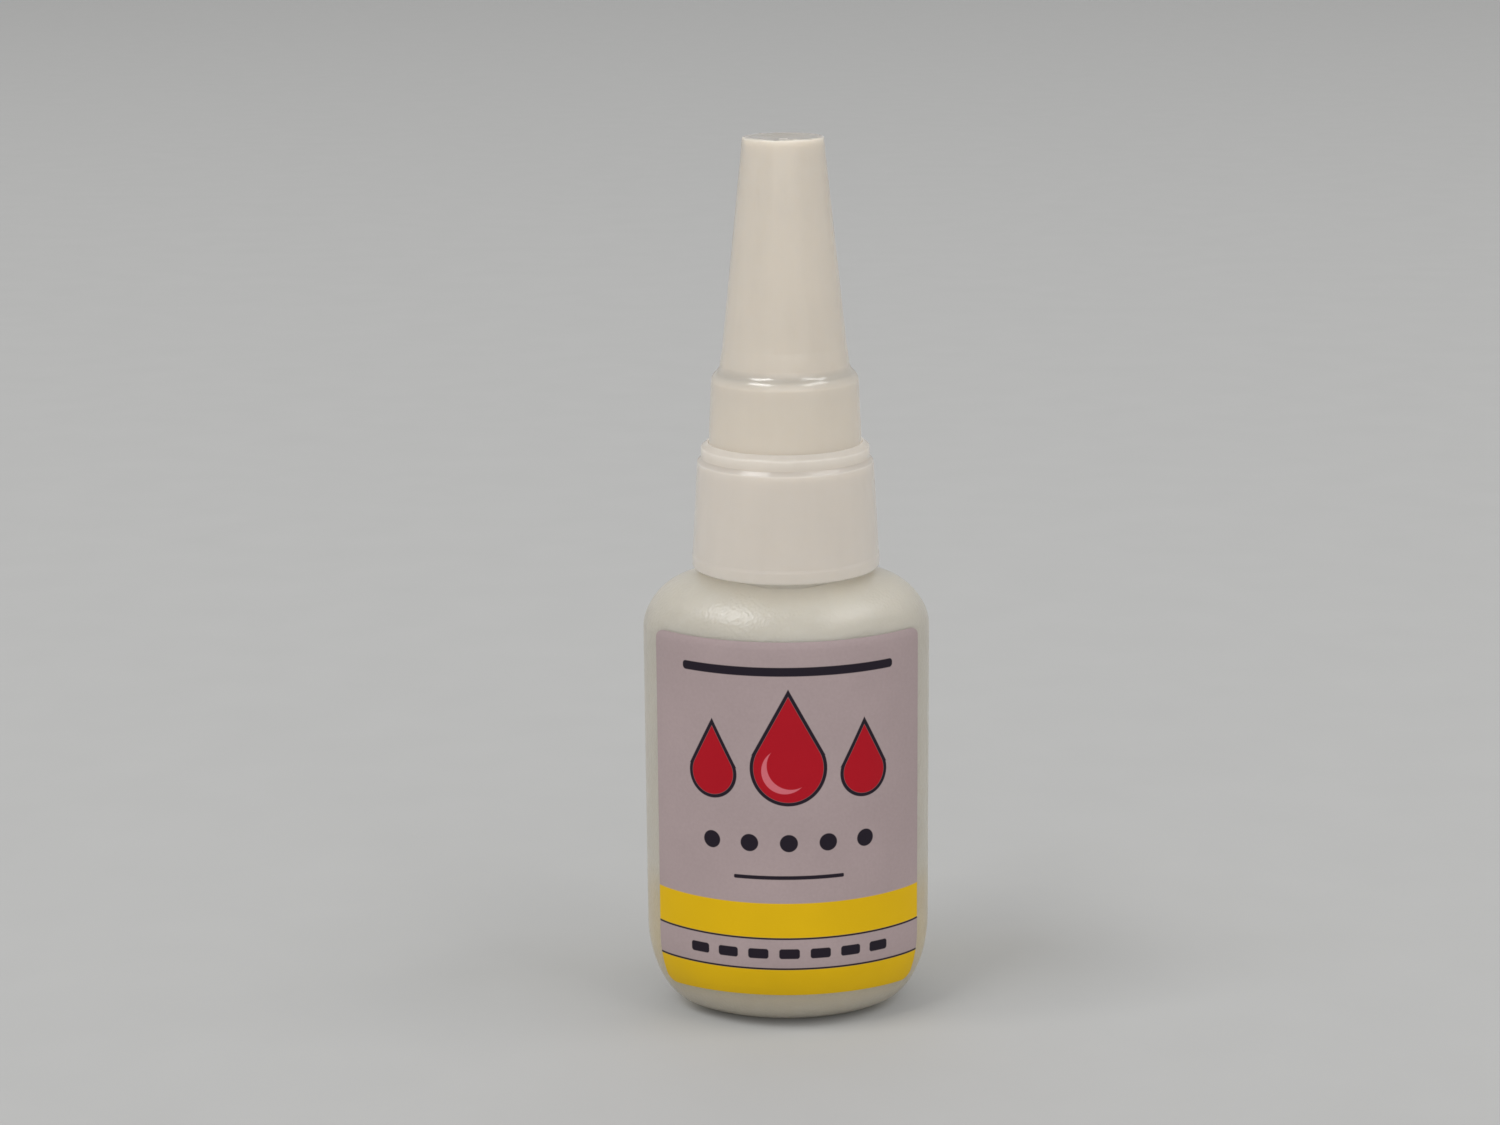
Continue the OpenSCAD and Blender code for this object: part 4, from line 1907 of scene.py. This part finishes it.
@dataclass
class ConeCap:
    """The push-on cap: lower band, curved step, long cone with a dished top, sleeve and closing pin."""

    low: float
    top: float
    foot_r: float
    tip_z: float
    finish: MouldedFinish
    band_r: float = 8.2
    band_h: float = 8.7
    step_h: float = 2.3
    cone_r: float = 7.15
    top_r: float = 4.4
    band_wall: float = 1.0
    cone_wall: float = 1.5
    top_t: float = 1.4
    dish_h: float = 0.45
    dish_steps: int = 7
    rim_w: float = 0.65
    rim_round: float = 0.22
    rim_in_round: float = 0.12
    sleeve_r: float = 5.45
    sleeve_wall: float = 0.8
    sleeve_up: float = 1.6
    pin_r: float = 0.5
    pin_len: float = 3.5
    # Gate mark: radius, height, step at its foot, taper, rounding, and the dish's end against its radius
    gate_r: float = 0.55
    gate_h: float = 0.14
    gate_step: float = 0.01
    gate_taper: float = 0.8
    gate_round: float = 0.08
    gate_room: float = 1.5
    # How far the cone's foot is drawn in, at what height above the step, and its rounding
    waist_in: float = 0.08
    waist_h: float = 1.8
    waist_round: float = 4.0
    curve_steps: int = 8
    # Rag of the trimmed rim: depth, height that it reaches down, widths of the rim that it reaches in
    rim_rag: float = 0.14
    rag_h: float = 0.5
    rag_in: float = 1.3
    # Pace and share of the rag's waves, its share outwards, and its middle and swing downwards
    rag_waves: tuple[Point2, ...] = ((2.3, 1.0), (7.1, 0.6), (19.0, 0.35))
    rag_out: float = 0.35
    rag_middle: float = 0.55
    rag_swing: float = 0.5
    # Nib of flash at the left: how far it stands out, its turn in radians and its width
    nib_out: float = 0.14
    nib_turn: float = 0.07
    nib_w: float = 0.1
    steps: int = 192

    def step_points(self) -> list[Corner]:
        """Lists the curved step between band and cone: a round shoulder that turns into a hollow.

        Returns:
            Its points, upwards.
        """
        band_z, half = self.low + self.band_h, self.step_h / 2.0
        step_w, top_z = self.band_r - self.cone_r, band_z + self.step_h
        curve = (step_w**2 + self.step_h**2) / (4.0 * step_w)
        last = math.asin(half / curve)
        turns = [last * i / self.curve_steps for i in range(self.curve_steps + 1)]
        arc = [(curve * (1.0 - math.cos(a)), curve * math.sin(a)) for a in turns]
        shoulder = [Corner(self.band_r - drawn, band_z + rise) for drawn, rise in arc]
        hollow = [Corner(self.cone_r + drawn, top_z - rise) for drawn, rise in reversed(arc)]
        return shoulder + hollow[1:]

    def dish_points(self) -> list[Corner]:
        """Lists the dished top.

        Returns:
            Its corners, from the rim to the gate mark in its middle.
        """
        wide = self.top_r - self.rim_w
        radius = (wide**2 + self.dish_h**2) / (2.0 * self.dish_h)
        floor_z = self.top - self.dish_h
        spread = [wide * (1.0 - i / self.dish_steps) for i in range(1, self.dish_steps)]
        radii = [r for r in spread if r > self.gate_room * self.gate_r]
        dish = [Corner(r, floor_z + radius - math.sqrt(radius**2 - r * r)) for r in radii]
        gate = [
            Corner(self.gate_r, floor_z + self.gate_step, Fillet.CREASE),
            Corner(self.gate_taper * self.gate_r, floor_z + self.gate_h, self.gate_round),
            Corner(0.0, floor_z + self.gate_h),
        ]
        return dish + gate

    def rag(self, r: float, z: float, angle: float) -> Point2:
        """Makes the rim of the top a little uneven, as trimmed flash leaves it.

        Args:
            r: Radius of the point.
            z: Height of the point.
            angle: Its angle round the axis.

        Returns:
            Its new radius and height.
        """
        near = max(0.0, 1.0 - (self.top - z) / self.rag_h)
        if near <= 0.0 or r < self.top_r - self.rag_in * self.rim_w:
            return r, z
        around = Vector((math.cos(angle), math.sin(angle), 0.0))
        rough = sum(share * noise.noise(around * pace) for pace, share in self.rag_waves)
        nib = self.nib_out * math.exp(-(((math.pi - angle) / self.nib_turn) ** 2))
        out = self.rag_out * self.rim_rag * rough + (nib if r > self.top_r - self.nib_w else 0.0)
        return r + near * out, z - self.rim_rag * near * (self.rag_middle + self.rag_swing * rough)

    def build(self) -> bpy.types.Object:
        """Builds the cap's mesh.

        Returns:
            The piece.
        """
        band_z = self.low + self.band_h
        ceiling = self.top - self.dish_h - self.top_t
        sleeve_out = self.sleeve_r + self.sleeve_wall
        band_in_z = band_z - self.band_wall
        cone_z = band_z + self.step_h
        taper = (self.cone_r - self.top_r) / (self.top - cone_z)
        waist_r = self.cone_r - taper * self.waist_h - self.waist_in
        corners = [
            Corner(0.0, self.tip_z - self.pin_len),
            Corner(self.pin_r, self.tip_z - self.pin_len, Fillet.EASED),
            Corner(self.pin_r, ceiling, Fillet.SOFT),
            Corner(self.top_r - self.cone_wall, ceiling, Fillet.SOFT),
            Corner(self.sleeve_r, band_z, Fillet.SOFT),
            Corner(self.sleeve_r, self.low + self.sleeve_up, Fillet.FINE),
            Corner(sleeve_out, self.low + self.sleeve_up, Fillet.FINE),
            Corner(sleeve_out, band_in_z, Fillet.EASED),
            Corner(self.band_r - self.band_wall, band_in_z, Fillet.SOFT),
            Corner(self.foot_r - self.band_wall, self.low, Fillet.CRISP),
            Corner(self.foot_r, self.low, Fillet.FINE),
            *self.step_points(),
            Corner(waist_r, cone_z + self.waist_h, self.waist_round),
            Corner(self.top_r, self.top, self.rim_round),
            Corner(self.top_r - self.rim_w, self.top, self.rim_in_round),
            *self.dish_points(),
        ]
        return turned_piece("cone_cap", corners, False, self.steps, self.rag)

    def dress(self, piece: bpy.types.Object, group: bpy.types.NodeTree) -> None:
        """Gives the cap its plastic and its body."""
        place_piece(piece, self.finish.material(group), Body.CAP, Node.CAP)


@dataclass(frozen=True)
class PhotoCamera:
    """Camera at the photograph's angle, in millimetres and degrees."""

    lens: float = 76.2
    sensor: float = 36.0
    place: Point3 = (-4.03, -347.1, 132.7)
    pitch: float = 13.15
    roll: float = 0.5
    # Nearest and farthest distance that it sees, in metres
    clip: Point2 = (0.01, 50.0)

    def build(self) -> None:
        """Makes the camera and the scene's view of it."""
        data = bpy.data.cameras.new("photo_camera")
        data.lens, data.sensor_width = self.lens, self.sensor
        data.clip_start, data.clip_end = self.clip
        camera = bpy.data.objects.new("photo_camera", data)
        bpy.context.scene.collection.objects.link(camera)
        pitch, roll = math.radians(self.pitch), math.radians(self.roll)
        ahead = Vector((0.0, math.cos(pitch), -math.sin(pitch)))
        right = Vector((1.0, 0.0, 0.0))
        up = right.cross(ahead)
        tilted_right = right * math.cos(roll) - up * math.sin(roll)
        tilted_up = right * math.sin(roll) + up * math.cos(roll)
        turned = Matrix((tilted_right, tilted_up, -ahead)).transposed()
        camera.matrix_world = Matrix.Translation(Vector(self.place) * MM) @ turned.to_4x4()
        bpy.context.scene.camera = camera


@dataclass(frozen=True)
class SoftLamp:
    """One soft box, placed by its direction from the object, in degrees, metres and watts."""

    name: str
    azimuth: float
    elevation: float
    wide: float
    tall: float
    power: float
    distance: float = 3.4
    # Whether glossy faces mirror it
    mirrored: bool = True

    def build(self, target: Vector) -> None:
        """Makes the lamp, turned towards the target.

        Args:
            target: The point that it lights.
        """
        data = bpy.data.lights.new(self.name, "AREA")
        data.shape, data.size, data.size_y = "RECTANGLE", self.wide, self.tall
        data.energy = self.power
        lamp = bpy.data.objects.new(self.name, data)
        lamp.visible_glossy = self.mirrored
        bpy.context.scene.collection.objects.link(lamp)
        side, rise = math.radians(self.azimuth), math.radians(self.elevation)
        away = Vector((math.sin(side) * math.cos(rise), -math.cos(side) * math.cos(rise), math.sin(rise)))
        lamp.location = target + away * self.distance
        lamp.rotation_euler = (-away).to_track_quat("-Z", "Y").to_euler()


@dataclass(frozen=True)
class Studio:
    """Plain pale floor and soft light."""

    floor_tint: Colour = tint(168, 168, 167)
    floor_r: float = 8.0
    floor_steps: int = 96
    # Patches of the floor's paper, and how far they change its brightness
    paper_mm: float = 14.0
    paper_detail: float = 3.0
    paper_swing: float = 0.015
    paper_rough: float = 0.9
    paper_shine: float = 0.2
    sky_tint: Colour = tint(255, 255, 255)
    sky_strength: float = 0.52
    lamps: tuple[SoftLamp, ...] = (
        SoftLamp("left_box", azimuth=-58.0, elevation=57.0, wide=1.8, tall=0.9, power=55.0),
        SoftLamp("right_box", azimuth=68.0, elevation=54.0, wide=2.4, tall=0.9, power=37.0),
        SoftLamp("front_fill", azimuth=4.0, elevation=26.0, wide=5.0, tall=2.4, power=32.0),
        SoftLamp("back_fill", azimuth=180.0, elevation=30.0, wide=4.0, tall=1.4, power=12.0, mirrored=False),
    )

    def build_floor(self) -> None:
        draft = MeshDraft()
        reach = self.floor_r / MM
        turns = [TURN * i / self.floor_steps for i in range(self.floor_steps)]
        draft.faces.append(tuple(draft.ring((reach * math.cos(a), reach * math.sin(a), 0.0) for a in turns)))
        floor = draft.build("studio_floor")
        made, loom, shader, place = plain_material("studio_paper")
        patches = loom.noise(place, self.paper_mm, self.paper_detail)
        loom.fill(
            shader,
            {
                "Base Color": loom.shaded(
                    self.floor_tint, loom.swing(patches, SLOW_REACH, 1.0, self.paper_swing)
                ),
                "Roughness": self.paper_rough,
                "Specular IOR Level": self.paper_shine,
            },
        )
        floor.data.materials.append(made)

    def build(self, target: Vector) -> None:
        """Makes the floor, the sky and the lamps.

        Args:
            target: The point that the lamps light.
        """
        self.build_floor()
        world = bpy.data.worlds.new("studio_sky")
        world.use_nodes = True
        sky = world.node_tree.nodes["Background"]
        sky.inputs["Color"].default_value = self.sky_tint
        sky.inputs["Strength"].default_value = self.sky_strength
        bpy.context.scene.world = world
        for lamp in self.lamps:
            lamp.build(target)
        bpy.context.scene.view_settings.view_transform = "Standard"


BOTTLE_FINISH = MouldedFinish(
    name="milky_bottle_plastic",
    colour=tint(182, 177, 166),
    roughness=0.33,
    shine=0.48,
    scatter_mm=3.0,
    passing=(0.84, 0.82, 0.78, 1.0),
    grain=1.0,
    bump_mm=0.045,
    # Painted yellow light from the label's foot, low on the front of the wall
    painted_ink_light=PaintedInkLight(
        colour=tint(190, 160, 70),
        share=0.3,
        start_z=0.5,
        full_z=7.5,
        fade_z=13.0,
        end_z=18.5,
        full_y=-5.0,
        end_y=4.0,
    ),
)
COLLAR_FINISH = MouldedFinish(
    name="clear_collar_plastic",
    colour=tint(208, 201, 192),
    roughness=0.15,
    shine=0.28,
    scatter_mm=3.0,
    passing=(0.985, 0.98, 0.975, 1.0),
    # Painted shade on the collar's ledge, ring top and rims, which catch light from above
    ledge=PaintedLedgeShade(tint(184, 177, 168), rise=0.7, level_shade_share=0.8),
)
CAP_FINISH = MouldedFinish(
    name="cream_cap_plastic",
    colour=tint(209, 201, 189),
    roughness=0.15,
    shine=0.5,
    scatter_mm=2.5,
    passing=(0.95, 0.94, 0.92, 1.0),
    # Painted shade on the cap's step, rim and dished top, which catch light from above
    ledge=PaintedLedgeShade(tint(156, 151, 142)),
)
DROPPER_FINISH = MouldedFinish(
    name="natural_dropper_plastic",
    colour=tint(214, 209, 198),
    roughness=0.34,
    shine=0.4,
    scatter_mm=2.0,
    passing=(0.96, 0.95, 0.93, 1.0),
)


def main() -> None:
    """Builds and dresses every piece, then the studio and the camera."""
    logging.basicConfig(level=logging.INFO, format="%(message)s")
    bottle_low, bottle_high = extent(Node.BOTTLE)
    collar_low, collar_high = extent(Node.COLLAR)
    label_low, label_high = extent(Node.LABEL)
    glue_high = extent(Node.GLUE)[1]
    dropper_low, dropper_high = extent(Node.DROPPER)
    cap_low, cap_high = extent(Node.CAP)
    skin = MouldedSkin().group()

    shape = OvalBody(
        width=bottle_high.x - bottle_low.x,
        depth=bottle_high.y - bottle_low.y,
        height=bottle_high.z - NECK_H,
    )
    bottle = SqueezeBottle(shape, bottle_high.z, BOTTLE_FINISH)
    bottle.dress(bottle.build(), skin)
    LOG.info("bottle: %.1f x %.1f mm, shoulder at %.1f mm", shape.width, shape.depth, shape.height)

    label = FrontLabel(shape, label_high.x, label_low.z, label_high.z, LabelFinish())
    label.dress(label.build())
    LOG.info("label: %.1f mm high on the front", label.high - label.low)

    fill = AdhesiveFill(bottle, glue_high.z, LiquidFinish())
    fill.dress(fill.build())
    LOG.info("adhesive: up to %.1f mm", fill.level)

    collar = ScrewCollar(collar_low.z, collar_high.z, collar_high.x, cap_high.x, COLLAR_FINISH)
    collar.dress(collar.build(), skin)
    LOG.info("collar: foot radius %.2f mm", collar.foot_r)

    dropper = DropperNozzle(
        low=dropper_low.z,
        tip_z=dropper_high.z,
        flange_r=dropper_high.x,
        lip_z=bottle.lip_z,
        deck_top=collar.deck_top,
        finish=DROPPER_FINISH,
    )
    dropper.dress(dropper.build(), skin)
    LOG.info("dropper: tip at %.1f mm", dropper.tip_z)

    cap = ConeCap(cap_low.z, cap_high.z, cap_high.x, dropper.tip_z, CAP_FINISH)
    cap.dress(cap.build(), skin)
    LOG.info("cap: top at %.1f mm", cap.top)

    low, high = CAD_BOX
    Studio().build((low + high) / 2.0)
    PhotoCamera().build()


if __name__ == "__main__":
    main()
